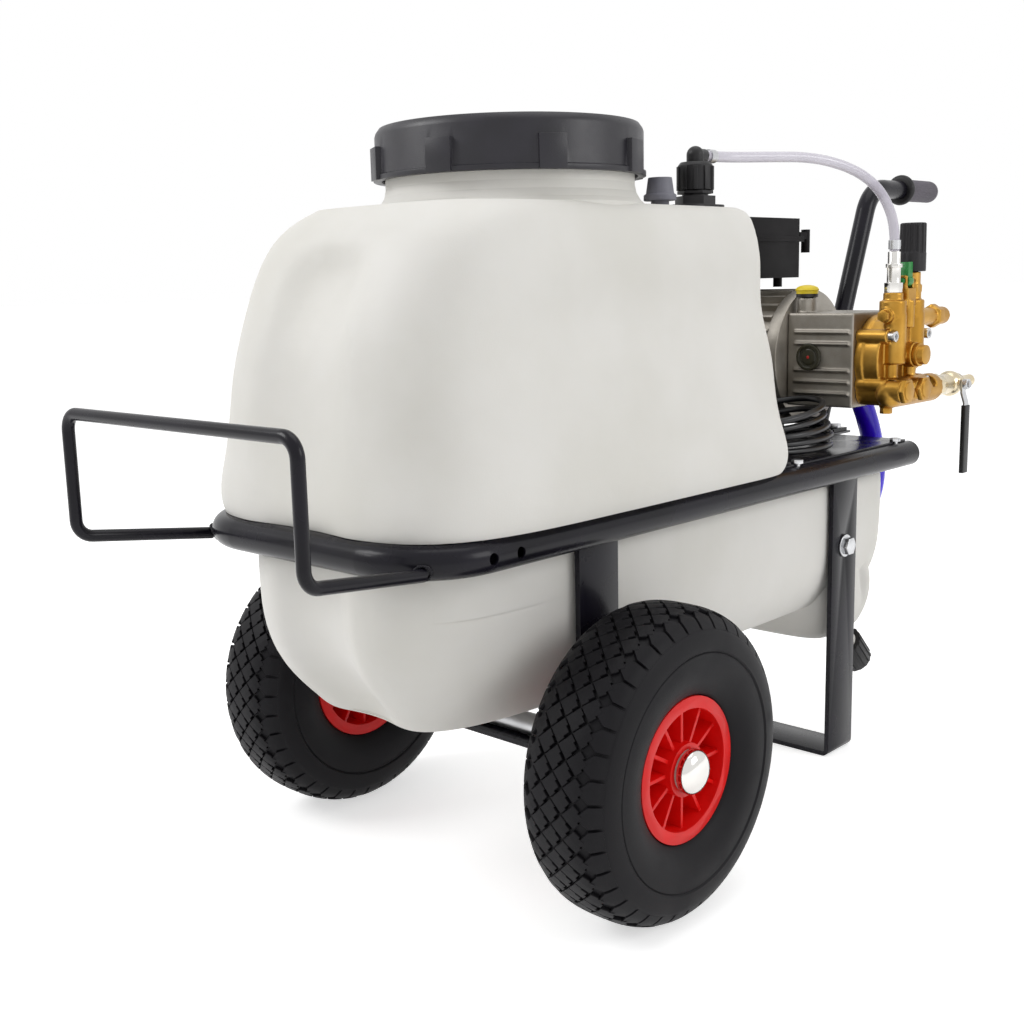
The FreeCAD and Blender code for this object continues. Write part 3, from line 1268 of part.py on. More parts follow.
def make_head():
    x, z, y = pump_x, s.pump_axis, s.tower_y
    shoulder = s.tower_top - s.tower_head
    front = s.manifold_y - s.manifold_radius - 1.5
    body = [rod("head_disc", s.head_radius, s.head_flange, x, head_face, z, "-Y"),
            rod("head_lip", s.head_radius + 1.2, s.head_lip, x, head_face, z, "-Y"),
            block("head_block", s.head_half_width * 2, s.head_block, s.head_roof - s.head_floor,
                  x, head_face - s.head_block / 2, s.head_floor),
            rod("tower_middle", 6.5, s.tower_top - 8 - shoulder + 12, tower_middle, y - 7,
                shoulder - 12),
            block("bypass_base", cheek * 2 + cheek_offset * 2, 14, 18, bypass_middle, s.bypass_y,
                  s.tower_top - 14),
            rod("manifold", s.manifold_radius, s.manifold_end - s.manifold_nose - s.manifold_front,
                axle_x + s.manifold_front, s.manifold_y, valve_axis, "+X"),
            cone("manifold_nose", s.manifold_radius, s.manifold_radius - 4, s.manifold_nose,
                 axle_x + s.manifold_end - s.manifold_nose, s.manifold_y, valve_axis, "+X"),
            ball("manifold_round", s.manifold_radius, axle_x + s.manifold_front, s.manifold_y,
                 valve_axis, "+X"),
            rod("lower_body", s.manifold_radius, s.nose_reach, axle_x + s.nose_x, head_face,
                valve_axis + 1, "-Y"),
            ball("lower_nose", s.manifold_radius, axle_x + s.nose_x, head_face - s.nose_reach,
                 valve_axis + 1, "+Y"),
            rod("outlet_arm", s.outlet_radius - 0.5, 60, x + 10, y + 2, s.outlet_z, "+X"),
            rod("outlet_nipple", s.outlet_radius, s.outlet_reach - s.pump_x - 70, x + 70, y + 2,
                s.outlet_z, "+X"),
            hexagon("outlet_hex", s.outlet_radius * 2 + 3.5, 11, x + 66, y + 2, s.outlet_z, "+X"),
            rod("plug_boss", 7.5, s.tower_radius + 2.5, tower_1, y, plug_z, "-X"),
            rod("front_boss", 13, 12, x, head_front + 2, z + 5, "-Y"),
            rod("suction_port", s.suction_pipe, chamber.x - x - 30, x + 30, pipe_y, chamber.z,
                "+X"),
            ball("suction_corner", s.suction_pipe, chamber.x, pipe_y, chamber.z,
                 corner_axis((-1, 0, 0), (0, 1, 0))),
            rod("suction_pipe", s.suction_pipe, chamber.y - pipe_y, chamber.x, pipe_y, chamber.z,
                "+Y"),
            ball("suction_chamber_top", s.suction_pipe, chamber.x, chamber.y, chamber.z,
                 corner_axis((0, -1, 0), pump_heading)),
            rod("suction_chamber", 10.5, s.suction_drop - 7, chamber_top.x, chamber_top.y,
                chamber_top.z, pump_spigot),
            rod("suction_barb", s.suction_bore / 2, s.suction_drop + 18, chamber.x, chamber.y,
                chamber.z, pump_spigot),
            hexagon("regulator_hex", 19, 7, tower_2, y, s.tower_top),
            rod("regulator_seat", 9, s.spindle_base, tower_2, y, s.tower_top),
            rod("regulator_spindle", s.spindle_diameter / 2, s.spindle_base + 30, tower_2, y,
                s.tower_top)]
    for label, tower in (("one", tower_1), ("two", tower_2)):
        body.append(rod("tower_" + label, s.tower_waist, shoulder + 2 - s.tower_bottom, tower + 1,
                        y - 3, s.tower_bottom))
        body.append(rod("tower_head_" + label, s.tower_radius, s.tower_head - 8, tower, y,
                        shoulder))
        body.append(rod("tower_collar_" + label, s.tower_collar, s.tower_head, tower, y, shoulder))
        body.append(rod("tower_neck_" + label, s.tower_neck, s.tower_bottom + 2 - s.manifold_z,
                        tower, y, s.manifold_z))
    for side in (-1, 1):
        body.append(block("bypass_cheek", cheek, 10, 15,
                          bypass_middle + (cheek_offset + cheek / 2) * side, s.bypass_y,
                          s.tower_top + 2))
    for px, pz in head_screws:
        body.append(rod("screw_pillar", s.screw_boss / 2, head_face - boss_front, px, head_face,
                        pz, "-Y"))
    for cap_x in cap_places:
        body.append(rod("cap_seat", s.valve_cap / 2, s.manifold_radius + 1.5, cap_x,
                        s.manifold_y, cap_height, "-Y"))
    body.append(rod("drain_boss", 7, 12, drain_x, drain_y, drain_top, "+Z"))
    bore = s.manifold_end - s.manifold_front - 5
    tools = [rod("manifold_bore", s.valve_bore / 2, bore, axle_x + s.manifold_end - bore,
                 s.manifold_y, valve_axis, "+X"),
             rod("outlet_bore", 5, 120, x - 20, y + 2, s.outlet_z, "+X"),
             rod("tower_bore", 5, 60, tower_1, y, s.tower_top - 60),
             rod("suction_bore_across", 6, chamber.x - x - 20, x + 20, pipe_y, chamber.z, "+X"),
             rod("suction_bore_along", 6, chamber.y - pipe_y, chamber.x, pipe_y, chamber.z,
                 "+Y"),
             rod("suction_bore_down", 7, 60, chamber.x, chamber.y, chamber.z, pump_spigot)]
    for px, pz in plunger_spots:
        tools.append(rod("cylinder", s.plunger_diameter / 2 + s.running_fit, s.head_flange - 2,
                         px, head_face, pz, "-Y"))
    for px, pz in head_screws:
        tools.append(rod("screw_bore", s.head_screw / 2, 60, px, head_face, pz, "-Y"))
        tools.append(rod("screw_relief", s.screw_head / 2 + 0.6, 40, px, boss_front, pz, "-Y"))
    bypass_hole = rod("bypass_hole", s.bypass_pin + s.running_fit, 30, bypass_middle - 15,
                      s.bypass_y, s.bypass_z, "+X")
    casting = fuse("head_body", *body)
    casting.Refine = False
    head = cut("pump_head", casting, bypass_hole, *tools)
    head.Refine = False
    keep("pump_head", head)
    make_head_fittings(x, y, z, front)


def make_head_fittings(x, y, z, front):
    screws = []
    for px, pz in head_screws:
        head = rod("cap_screw_head", s.screw_head / 2, 8, px, boss_front, pz, "-Y")
        socket = hexagon("cap_screw_socket", 6, 5, px, boss_front - 8, pz, "+Y")
        shank = rod("cap_screw_shank", s.head_screw / 2, head_face - boss_front, px, boss_front, pz,
                    "+Y")
        screws.append(fuse("cap_screw", cut("cap_screw_top", head, socket), shank))
    keep("head_screws", group("head_screw_set", *screws))
    caps = []
    for cap_x in cap_places:
        caps.append(fuse("valve_cap", hexagon("valve_cap_hex", s.valve_cap, 5, cap_x, front,
                                              cap_height, "-Y"),
                         rod("valve_cap_dome", s.valve_cap / 2 - 2, 6.5, cap_x, front,
                             cap_height, "-Y")))
    caps.append(fuse("middle_cap", rod("middle_cap_rim", 12, 5, x, head_front - 10, z + 5, "-Y"),
                     rod("middle_cap_dome", 10, 11, x, head_front - 10, z + 5, "-Y")))
    side = tower_1 - s.tower_radius - 2.5
    caps.append(hexagon("side_plug", 11, 6, side, y, plug_z, "-X"))
    caps.append(hexagon("drain_plug", 11, 6, drain_x, drain_y, drain_top, "-Z"))
    keep("head_plugs", group("head_plug_set", *caps))
    keep("return_tail", make_return_tail())
    keep("regulator_knob", make_knob())
    keep("bypass_lever", make_bypass())


def make_return_tail():
    x, y, base = tower_1, s.tower_y, s.tower_top
    body = [hexagon("tail_hex", 16, s.tail_hex, x, y, base),
            rod("tail_collar", 7, 15, x, y, base + s.tail_hex),
            rod("tail_ring", 8.5, 4, x, y, base + s.tail_hex + 15),
            rod("tail_neck", 6.5, 12, x, y, base + s.tail_hex + 19),
            rod("tail_barb", s.hose_bore / 2, s.tail_height - s.tail_hex, x, y, base + s.tail_hex)]
    bore = rod("tail_bore", s.hose_bore / 2 - 1.2, s.tail_height + 10, x, y, base - 5)
    return cut("return_tail", fuse("tail_body", *body), bore)


def make_knob():
    outer, hole = s.knob_diameter / 2, s.spindle_diameter / 2 + s.running_fit
    profile = [(hole, 0), (outer - 1, 0), (outer - 1, s.knob_height - 2),
               (outer - 3, s.knob_height), (0, s.knob_height), (0, 31), (hole, 31)]
    knob = turned("regulator_knob", profile, tower_2, s.tower_y,
                  s.tower_top + s.spindle_base + s.gap)
    rib = add_pad(knob, "knob_rib", [(outer - 3, -1.2), (outer, -1.2), (outer, 1.2),
                                     (outer - 3, 1.2)], s.knob_height - 3)
    repeat(knob, "knob_ribs", rib, as_size(16))
    return knob


def make_bypass():
    """The lever on its cross pin, which the head's two cheeks carry."""
    x, y, z, half = bypass_middle, s.bypass_y, s.bypass_z, s.bypass_width / 2
    reach = cheek_offset + cheek
    pin = rod("bypass_pin", s.bypass_pin, reach * 2, x - reach, y, z, "+X")
    hub = rod("bypass_hub", s.bypass_hub, half * 2, x - half, y, z, "+X")
    outline = [(-half, 0), (half, 0), (half - 0.5, s.bypass_length),
               (-half + 0.5, s.bypass_length)]
    blade = padded("bypass_blade", outline, 9, x, y + 4.5, z, turn["-Y"])
    return fuse("bypass_lever", pin, hub, blade)


# Ball valve

def make_valve():
    y, z, end = s.manifold_y, valve_axis, axle_x + s.manifold_end
    x = axle_x + s.valve_x
    length = s.valve_end - s.manifold_end
    body = [hexagon("valve_hex", 23, 9, end, y, z, "+X"),
            rod("valve_barrel", s.valve_radius - 3, length, end, y, z, "+X"),
            ball("valve_bulge", s.valve_radius, x, y, z, "+X"),
            rod("tail_collar", s.tail_diameter / 2 + 2.5, 3, end + length, y, z, "+X"),
            rod("tail_barrel", s.tail_diameter / 2, s.tail_end - s.valve_end, end + length, y, z,
                "+X"),
            rod("tail_ring", s.tail_diameter / 2 + 0.2, 3, axle_x + s.tail_end - 3, y, z, "+X"),
            rod("stem_boss", 7, s.valve_radius + 0.6, x, y, z, "-Y")]
    cavity = ball("ball_cavity", s.ball_diameter / 2 + s.gap, x, y, z, "+X")
    bores = [rod("valve_bore", s.valve_bore / 2, 120, end, y, z, "+X"),
             rod("stem_hole", s.stem_diameter / 2 + s.running_fit, 40, x, y, z, "-Y")]
    keep("valve_body", cut("valve_body", fuse("valve_solid", *body), cavity, *bores))
    sphere = ball("valve_sphere", s.ball_diameter / 2, x, y, z)
    stem = rod("valve_stem", s.stem_diameter / 2, s.valve_radius + 10, x, y, z, "-Y")
    through = rod("ball_bore", s.valve_bore / 2, 40, x, y, z - 20)
    keep("valve_ball", cut("valve_ball", fuse("valve_core", sphere, stem), through))
    near = s.valve_radius + 0.6 + s.gap
    half, thick, step = s.lever_width / 2, s.lever_thickness, s.lever_joggle
    far = near + thick
    outline = [(-near, half), (-far, half), (-far, -9), (-far - step, -20),
               (-far - step, -s.lever_length), (-near - step, -s.lever_length),
               (-near - step, -21), (-near, -10)]
    arm = padded("lever_arm", outline, s.lever_width, x - half, y, z,
                 Rotation(Vector(1, 1, 1), 120))
    hole = rod("lever_hole", s.stem_diameter / 2, 40, x, y, z, "-Y")
    nut = hexagon("lever_nut", 11, 5, x, y - far, z, "-Y")
    keep("valve_lever", fuse("valve_lever", cut("lever_plate", arm, hole),
                             cut("lever_nut_ring", nut, hole)))
    wall, low = s.sleeve_wall, s.lever_length + 2
    high = as_size(23)
    solid = block("sleeve_solid", s.lever_width + wall * 2, thick + wall * 2, low - high, x,
                  y - near - step - thick / 2, z - low)
    space = block("sleeve_space", s.lever_width, thick, low - high, x,
                  y - near - step - thick / 2, z - low + 2)
    keep("lever_sleeve", cut("lever_sleeve", solid, space))


make_shaft()
make_box()
make_crankcase()
make_head()
make_valve()

# Hoses

def make_suction():
    keep("suction_hose", cord("suction_hose", suction_corners, s.suction_diameter.value,
                              s.suction_bore.value))
    x, y, z = elbow_foot.x, elbow_foot.y, elbow_foot.z
    face = axle_x + s.suction_face
    back, stub = face - 32, s.suction_stub
    body = [rod("elbow_stub", stub, x - back, back, y, z, "+X"),
            rod("elbow_collar", stub + 5, 5, face, y, z, "+X"),
            ball("elbow_corner", stub, x, y, z, corner_axis((-1, 0, 0), tank_heading)),
            rod("elbow_riser", stub, 24, x, y, z, tank_spigot),
            rod("elbow_spigot", s.suction_bore / 2, 35, x, y, z, tank_spigot)]
    tools = [rod("elbow_bore_in", 7, x - back + 10, back - 10, y, z, "+X"),
             rod("elbow_bore_up", 7, 60, x, y, z, tank_spigot)]
    keep("suction_elbow", cut("suction_elbow", fuse("suction_elbow_body", *body), *tools))


def make_drain_cap():
    radius, length = s.outlet_nut / 2, s.outlet_nut_length
    hole = s.spout_diameter / 2
    base = outlet_place.multVec(Vector(0, 0, 8))
    profile = [(hole, 0), (radius - 1, 0), (radius - 1, length - 3), (radius - 4, length),
               (0, length), (0, 12), (hole, 12)]
    cap = turned("drain_cap", profile, base.x, base.y, base.z, outlet_place.Rotation)
    rib = add_pad(cap, "drain_rib", [(radius - 3, -1.5), (radius, -1.5), (radius, 1.5),
                                     (radius - 3, 1.5)], length - 4)
    repeat(cap, "drain_ribs", rib, as_size(16))
    keep("drain_cap", cap)


def make_return_hose():
    start = return_x + 15
    low = s.tower_top + 41.5
    spots = [(start.value, s.return_y.value, barb_height.value),
             (start.value + 28, s.return_y.value, barb_height.value)]
    spots += [(axle_x.value + x, y, z) for x, y, z in (
        (298, -104, 626), (345, -128, 626.5), (388, -146, 617), (416, -157, 602),
        (433, -163.5, 582))]
    spots += [(tower_1.value, s.tower_y.value, low.value + 22.5),
              (tower_1.value, s.tower_y.value, low.value)]
    corners = [Vector(*spot) for spot in spots]
    keep("return_hose", cord("return_hose", corners, s.hose_diameter.value, s.hose_bore.value))
    keep("hose_clamps", group("hose_clamp_pair",
                              clamp_ring("clamp_top", start + 5, s.return_y, barb_height, "+X"),
                              clamp_ring("clamp_tail", tower_1, s.tower_y, low + 2, "+Z")))


# Mains cable

cable_radius = s.cable_diameter.value / 2
coil_base = plate_top.value + cable_radius + s.gap.value


def coil_point(share):
    """A place on the coil, from its lower end at 0 to its upper end at 1."""
    turns = s.coil_turns.value
    angle = math.pi / 2 - 2 * math.pi * turns * share
    swell = math.sin(math.pi * share) ** 2
    length = s.coil_half_length.value - 8 * share + 4 * swell * math.sin(1.3 * angle)
    width = s.coil_half_width.value + 4 * swell * math.sin(0.8 * angle + 1)
    shift = 2.5 * swell * math.sin(0.6 * angle) - 14 * share
    lean = s.coil_lean.value * share * (1 + math.cos(angle)) / 2
    return Vector(axle_x.value + s.coil_x.value + shift + length * math.cos(angle),
                  s.coil_y.value + width * math.sin(angle),
                  coil_base + s.coil_pitch.value * turns * share + lean)


def coil_heading(share):
    step = 1e-4
    low, high = max(share - step, 0), min(share + step, 1)
    heading = coil_point(high) - coil_point(low)
    if share in (0, 1):
        heading.z = 0
    return heading.normalize()


def biarc(first, leaving, last, arriving):
    """Two tangent arcs between two places with given headings."""
    across, both = last - first, leaving + arriving
    a = 2 * (leaving.dot(arriving) - 1)
    b, c = -2 * across.dot(both), across.dot(across)
    reach = (-b - math.sqrt(b * b - 4 * a * c)) / (2 * a)
    near, far = first + leaving * reach, last - arriving * reach
    middle = (near + far) / 2
    return [corner_arc(first, near, middle), corner_arc(middle, far, last)]


def make_coil():
    steps = round(s.coil_turns.value * 8)
    shares = [step / steps for step in range(steps + 1)]
    places = [coil_point(share) for share in shares]
    headings = [coil_heading(share) for share in shares]
    end = s.cable_diameter.value
    edges = [Part.LineSegment(places[0] - headings[0] * end, places[0]).toShape()]
    for index in range(steps):
        edges += biarc(places[index], headings[index], places[index + 1], headings[index + 1])
    edges.append(Part.LineSegment(places[-1], places[-1] + headings[-1] * end).toShape())
    path = Part.Wire(edges)
    keep("cable_coil", feature("cable_coil", swept(path, cable_radius)))
    samples = [edge.valueAt(edge.FirstParameter + (edge.LastParameter - edge.FirstParameter) * k / 6)
               for edge in path.Edges for k in range(6)]
    apart = round(len(samples) / s.coil_turns.value / 2)
    least = min((samples[i] - samples[j]).Length for i in range(len(samples))
                for j in range(i + apart, len(samples)))
    print("cable_coil length", round(path.Length), "least gap", round(least - end, 2))
    return places[0] - headings[0] * end, places[-1] + headings[-1] * end


def make_cable_ends(low_end, high_end):
    lead = [high_end] + [point(axle_x + x, y, z) for x, y, z in (
        (284, -62, high_end.z + 1), (283, -40, 376), (287, -20, 394), (298, -6, 422),
        (316, 3, 456), (335, 9, 489), (355, 15, 514), (376, 19.5, 528))]
    lead.append(point(box_x - s.box_length / 2 - 15, s.box_y + 30, rocker_z))
    tail = [point(axle_x + x, y, z) for x, y, z in (
        (295, 34, 351), (295, 16, 350.4), (297, -3, 347), (303, -20, 342.5), (315, -34, 338.7))]
    tail += [low_end - Vector(20, 0, -0.6), low_end]
    lead_solid = cord("lead_run", lead, s.cable_diameter.value)
    tail_solid = cord("tail_run", tail, s.cable_diameter.value)
    keep("cable_lead", group("cable_ends", lead_solid, tail_solid))
    heading = Rotation(Vector(0, 0, 1), tail[0] - tail[1])
    start = tail[0]
    shell = turned("plug_shell", [(0, 0), (6, 0), (7, 10), (14, 14), (18, 18), (18, 48), (0, 48)],
                   start.x, start.y, start.z, heading)
    pins = []
    for side in (-1, 1):
        away = start + heading.multVec(Vector(9.5 * side, 0, 46))
        pins.append(rod("plug_pin", 2.4, 21, away.x, away.y, away.z, heading))
    keep("cable_plug", fuse("cable_plug", shell, *pins))


make_suction()
make_drain_cap()
make_return_hose()
make_cable_ends(*make_coil())

# Check and export

doc.recompute()
for item in doc.Objects:
    if "Invalid" in item.State or "Error" in item.State:
        raise RuntimeError("%s did not compute: %s" % (item.Name, item.State))
os.makedirs("parts", exist_ok=True)
for item in parts:
    if item.Shape.isNull() or not item.Shape.isValid() or not item.Shape.Solids:
        raise RuntimeError("%s has no sound solid" % item.Label)
    item.Shape.exportStep("parts/%s.step" % item.Label)
print(len(parts), "pieces exported")
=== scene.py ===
import json
import math

import bmesh
import bpy
import numpy as np
from mathutils import Matrix, Vector


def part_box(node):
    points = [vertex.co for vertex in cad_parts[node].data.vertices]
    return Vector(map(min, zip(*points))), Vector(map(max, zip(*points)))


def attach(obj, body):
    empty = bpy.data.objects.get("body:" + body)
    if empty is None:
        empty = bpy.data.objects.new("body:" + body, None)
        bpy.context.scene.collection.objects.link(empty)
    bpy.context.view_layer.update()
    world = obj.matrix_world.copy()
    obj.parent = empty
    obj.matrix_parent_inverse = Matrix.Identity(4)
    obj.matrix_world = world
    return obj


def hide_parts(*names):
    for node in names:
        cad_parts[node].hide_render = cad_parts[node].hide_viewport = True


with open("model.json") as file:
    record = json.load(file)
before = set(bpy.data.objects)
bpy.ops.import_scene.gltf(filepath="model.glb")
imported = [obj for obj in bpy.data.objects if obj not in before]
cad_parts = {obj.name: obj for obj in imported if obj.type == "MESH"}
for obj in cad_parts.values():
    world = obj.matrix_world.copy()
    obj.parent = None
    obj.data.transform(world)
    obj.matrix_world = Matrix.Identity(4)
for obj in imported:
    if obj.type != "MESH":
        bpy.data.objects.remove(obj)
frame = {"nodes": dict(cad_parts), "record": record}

scene = bpy.context.scene
nodes = frame["nodes"]
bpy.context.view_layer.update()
print("frame loaded:", len(nodes), "nodes")


def linear(red, green, blue):    # a colour as it is seen, 0 to 255
    values = []
    for part in (red, green, blue):
        part = part / 255
        values.append(part / 12.92 if part <= 0.04045 else ((part + 0.055) / 1.055) ** 2.4)
    return (*values, 1)


# Shader sums

class Wire:
    def __init__(self, look, socket):
        self.look, self.socket = look, socket

    def maths(self, operation, *values):
        return self.look.maths(operation, *values)

    def __add__(self, other):
        return self.maths("ADD", self, other)

    def __sub__(self, other):
        return self.maths("SUBTRACT", self, other)

    def __rsub__(self, other):
        return self.maths("SUBTRACT", other, self)

    def __mul__(self, other):
        return self.maths("MULTIPLY", self, other)

    def __truediv__(self, other):
        return self.maths("DIVIDE", self, other)

    def __gt__(self, other):
        return self.maths("GREATER_THAN", self, other)

    def between(self, low, high):
        return self.look.node("ShaderNodeMapRange", {"interpolation_type": "SMOOTHSTEP"},
                              {0: self, 1: low, 2: high, 3: 0.0, 4: 1.0})

    __radd__ = __add__
    __rmul__ = __mul__


class NodeMaker:
    def maths(self, operation, *values):
        return self.node("ShaderNodeMath", {"operation": operation}, dict(enumerate(values)))

    def node(self, kind, settings=None, inputs=None, output=0):
        made = self.tree.nodes.new(kind)
        for name, value in (settings or {}).items():
            if name == "stops":
                for index, (position, colour) in enumerate(value):
                    elements = made.color_ramp.elements
                    stop = elements[index] if index < len(elements) else elements.new(position)
                    stop.position, stop.color = position, colour
            else:
                setattr(made, name, value)
        for name, value in (inputs or {}).items():
            if isinstance(value, Wire):
                self.tree.links.new(value.socket, made.inputs[name])
            else:
                made.inputs[name].default_value = value
        return Wire(self, made.outputs[output])


class Look(NodeMaker):
    def __init__(self, name):
        self.material = bpy.data.materials.new(name)
        self.material.use_nodes = True
        self.tree = self.material.node_tree
        self.tree.nodes.clear()
        self.shader = self.tree.nodes.new("ShaderNodeBsdfPrincipled")
        output = self.tree.nodes.new("ShaderNodeOutputMaterial")
        self.tree.links.new(self.shader.outputs[0], output.inputs[0])
        self.place = self.node("ShaderNodeTexCoord", output="Object")

    def axes(self):
        return [self.node("ShaderNodeSeparateXYZ", None, {0: self.place}, k) for k in range(3)]

    def noise(self, scale, detail=3.0, stretch=None):
        place = self.place
        if stretch:
            place = self.node("ShaderNodeMapping", None, {"Vector": place, "Scale": stretch})
        return self.node("ShaderNodeTexNoise", None,
                         {"Vector": place, "Scale": scale, "Detail": detail})

    def cells(self, scale):
        return self.node("ShaderNodeTexVoronoi", {"feature": "F1"},
                         {"Vector": self.place, "Scale": scale})

    def mix(self, share, first, second):
        return self.node("ShaderNodeMix", {"data_type": "RGBA"}, {0: share, 6: first, 7: second}, 2)

    def bump(self, height, depth, strength=1.0):
        return self.node("ShaderNodeBump", None,
                         {"Height": height, "Distance": depth, "Strength": strength})

    def give(self, **values):
        for name, value in values.items():
            socket = self.shader.inputs[name.replace("_", " ")]
            if isinstance(value, Wire):
                self.tree.links.new(value.socket, socket)
            else:
                socket.default_value = value
        return self.material


# Patterns: a tree of Geometry Nodes that repeats one small mesh

kinds = {"int": "NodeSocketInt", "float": "NodeSocketFloat", "object": "NodeSocketObject",
         "material": "NodeSocketMaterial"}


class Pattern(NodeMaker):
    def __init__(self, name, **inputs):
        self.tree = bpy.data.node_groups.new(name, "GeometryNodeTree")
        self.tree.interface.new_socket("Geometry", in_out="OUTPUT",
                                       socket_type="NodeSocketGeometry")
        self.keys = {}
        for label, kind in {**inputs, "piece": "object", "finish": "material"}.items():
            socket = self.tree.interface.new_socket(label, in_out="INPUT", socket_type=kinds[kind])
            self.keys[label] = socket.identifier
        self.entry = self.tree.nodes.new("NodeGroupInput")

    def given(self, label):
        return Wire(self, self.entry.outputs[label])

    def vector(self, x=0.0, y=0.0, z=0.0):
        return self.node("ShaderNodeCombineXYZ", None, {0: x, 1: y, 2: z})

    def close(self, spots, turn, scale=None):
        piece = self.node("GeometryNodeObjectInfo", None, {"Object": self.given("piece")},
                          "Geometry")
        placed = self.node("GeometryNodeInstanceOnPoints", None,
                           {"Points": spots, "Instance": piece, "Rotation": turn,
                            "Scale": scale or (1, 1, 1)})
        real = self.node("GeometryNodeRealizeInstances", None, {0: placed})
        dressed = self.node("GeometryNodeSetMaterial", None,
                            {"Geometry": real, "Material": self.given("finish")})
        leave = self.tree.nodes.new("NodeGroupOutput")
        self.tree.links.new(dressed.socket, leave.inputs[0])

    def make(self, name, piece, finish, **values):
        holder = bpy.data.objects.new(name, bpy.data.meshes.new(name))
        scene.collection.objects.link(holder)
        small = bpy.data.objects.new(name + ".one", piece)
        scene.collection.objects.link(small)
        modifier = holder.modifiers.new("pattern", "NODES")
        modifier.node_group = self.tree
        for label, value in {**values, "piece": small, "finish": finishes[finish]}.items():
            modifier[self.keys[label]] = value
        settle(holder)
        bpy.data.objects.remove(small)
        return holder


def rowsPattern():    # staggered rows of one small piece, in a flat field
    field = Pattern("staggeredRows", columns="int", rows="int", pitch="float", step="float")
    columns = field.given("columns")
    index = field.node("GeometryNodeInputIndex")
    row = field.maths("FLOOR", (index + 0.01) / columns)
    column = index - row * columns
    odd = field.maths("MODULO", row, 2.0)
    across = (row - (field.given("rows") - 1) * 0.5) * field.given("step")
    spots = field.node("GeometryNodePoints", None,
                       {"Count": columns * field.given("rows"),
                        "Position": field.vector((column + odd * 0.5) * field.given("pitch"),
                                                 across, 0.0)})
    field.close(spots, (0, 0, 0))
    return field


def beadPattern():    # weld beads along a closed path, each a little different
    weld = Pattern("weldBeads", count="int", radius="float", seed="int")
    path = weld.node("GeometryNodeCurvePrimitiveCircle", {"mode": "RADIUS"},
                     {"Resolution": 64, "Radius": weld.given("radius")})
    spots = weld.node("GeometryNodeResampleCurve", {"mode": "COUNT"},
                      {"Curve": path, "Count": weld.given("count")})
    size = weld.node("FunctionNodeRandomValue", {"data_type": "FLOAT"},
                     {2: 0.75, 3: 1.2, "Seed": weld.given("seed")}, 1)
    angle = weld.node("FunctionNodeRandomValue", {"data_type": "FLOAT"},
                      {2: 0.0, 3: 6.0, "Seed": weld.given("seed")}, 1)
    weld.close(spots, weld.vector(angle, angle * 0.7, angle * 1.3), weld.vector(size, size, size))
    return weld


# Finishes

def framePaint():
    values = {"colour": (16, 15, 21), "tint": (23, 21, 30), "roughness": 0.24, "peel": 0.00003}
    look = Look("framePaint")
    cloud = look.noise(18, 4).between(0.35, 0.7)
    peel = look.noise(420, 2)
    colour = look.mix(cloud, linear(*values["colour"]), linear(*values["tint"]))
    return look.give(Base_Color=colour, Roughness=cloud * 0.05 + values["roughness"],
                     Normal=look.bump(peel, values["peel"]), Coat_Weight=0.05,
                     Coat_Roughness=0.05, Specular_IOR_Level=0.18)


def tankPlastic():
    values = {"colour": (228, 226, 221), "shade": (218, 216, 209), "roughness": 0.5,
              "grain": 0.00012}
    look = Look("tankPlastic")
    cloud = look.noise(7, 4).between(0.3, 0.75)
    grain = look.noise(900, 2)
    orange = look.noise(160, 2)
    colour = look.mix(cloud, linear(*values["colour"]), linear(*values["shade"]))
    return look.give(Base_Color=colour, Roughness=values["roughness"] + grain * 0.12,
                     Normal=look.bump(grain * 0.6 + orange * 0.4, values["grain"]),
                     Subsurface_Weight=0.18, Subsurface_Radius=(0.02, 0.019, 0.017),
                     Subsurface_Scale=0.4, IOR=1.5)


def tyreRubber():
    values = {"colour": (19, 18, 21), "dust": (33, 32, 35), "roughness": 0.5}
    look = Look("tyreRubber")
    cloud = look.noise(30, 5).between(0.45, 0.8)
    grain = look.noise(1200, 2)
    colour = look.mix(cloud * 0.5, linear(*values["colour"]), linear(*values["dust"]))
    return look.give(Base_Color=colour, Roughness=values["roughness"] + cloud * 0.15,
                     Normal=look.bump(grain, 0.00012), Specular_IOR_Level=0.15)


def mouldedPlastic(name, colour, roughness, grain=0.0001, shade=0.75, gloss=0.5):
    look = Look(name)
    cloud = look.noise(40, 3).between(0.3, 0.7)
    fine = look.noise(1500, 2)
    dark = tuple(part * shade for part in linear(*colour)[:3]) + (1,)
    return look.give(Base_Color=look.mix(cloud, dark, linear(*colour)),
                     Roughness=roughness + cloud * 0.08, Normal=look.bump(fine, grain),
                     Specular_IOR_Level=gloss)


def castMetal(name, colour, shade, roughness, lumps, metallic=1.0):
    look = Look(name)
    cloud = look.noise(35, 5).between(0.3, 0.7)
    skin = look.noise(700, 4)
    pits = look.cells(480).between(0.0, 0.5)
    return look.give(Base_Color=look.mix(cloud, linear(*shade), linear(*colour)),
                     Roughness=roughness + skin * 0.18, Metallic=metallic,
                     Normal=look.bump(skin * 0.7 + pits * 0.3, lumps))


def brightMetal(name, colour, roughness, marks=0.000002):
    look = Look(name)
    smear = look.noise(25, 4).between(0.3, 0.8)
    lines = look.noise(90, 3, (1, 1, 14))
    return look.give(Base_Color=look.mix(smear * 0.4, linear(*colour),
                                         tuple(p * 0.6 for p in linear(*colour)[:3]) + (1,)),
                     Roughness=roughness + smear * 0.1, Metallic=1.0,
                     Normal=look.bump(lines, marks))


def clearTube():
    look = Look("clearTube")
    haze = look.noise(14, 2).between(0.3, 0.8)
    return look.give(Base_Color=look.mix(haze, linear(226, 222, 232), linear(206, 201, 214)),
                     Roughness=0.12 + haze * 0.05, Alpha=0.64 + haze * 0.1,
                     Normal=look.bump(haze, 0.0001), Coat_Weight=0.4)


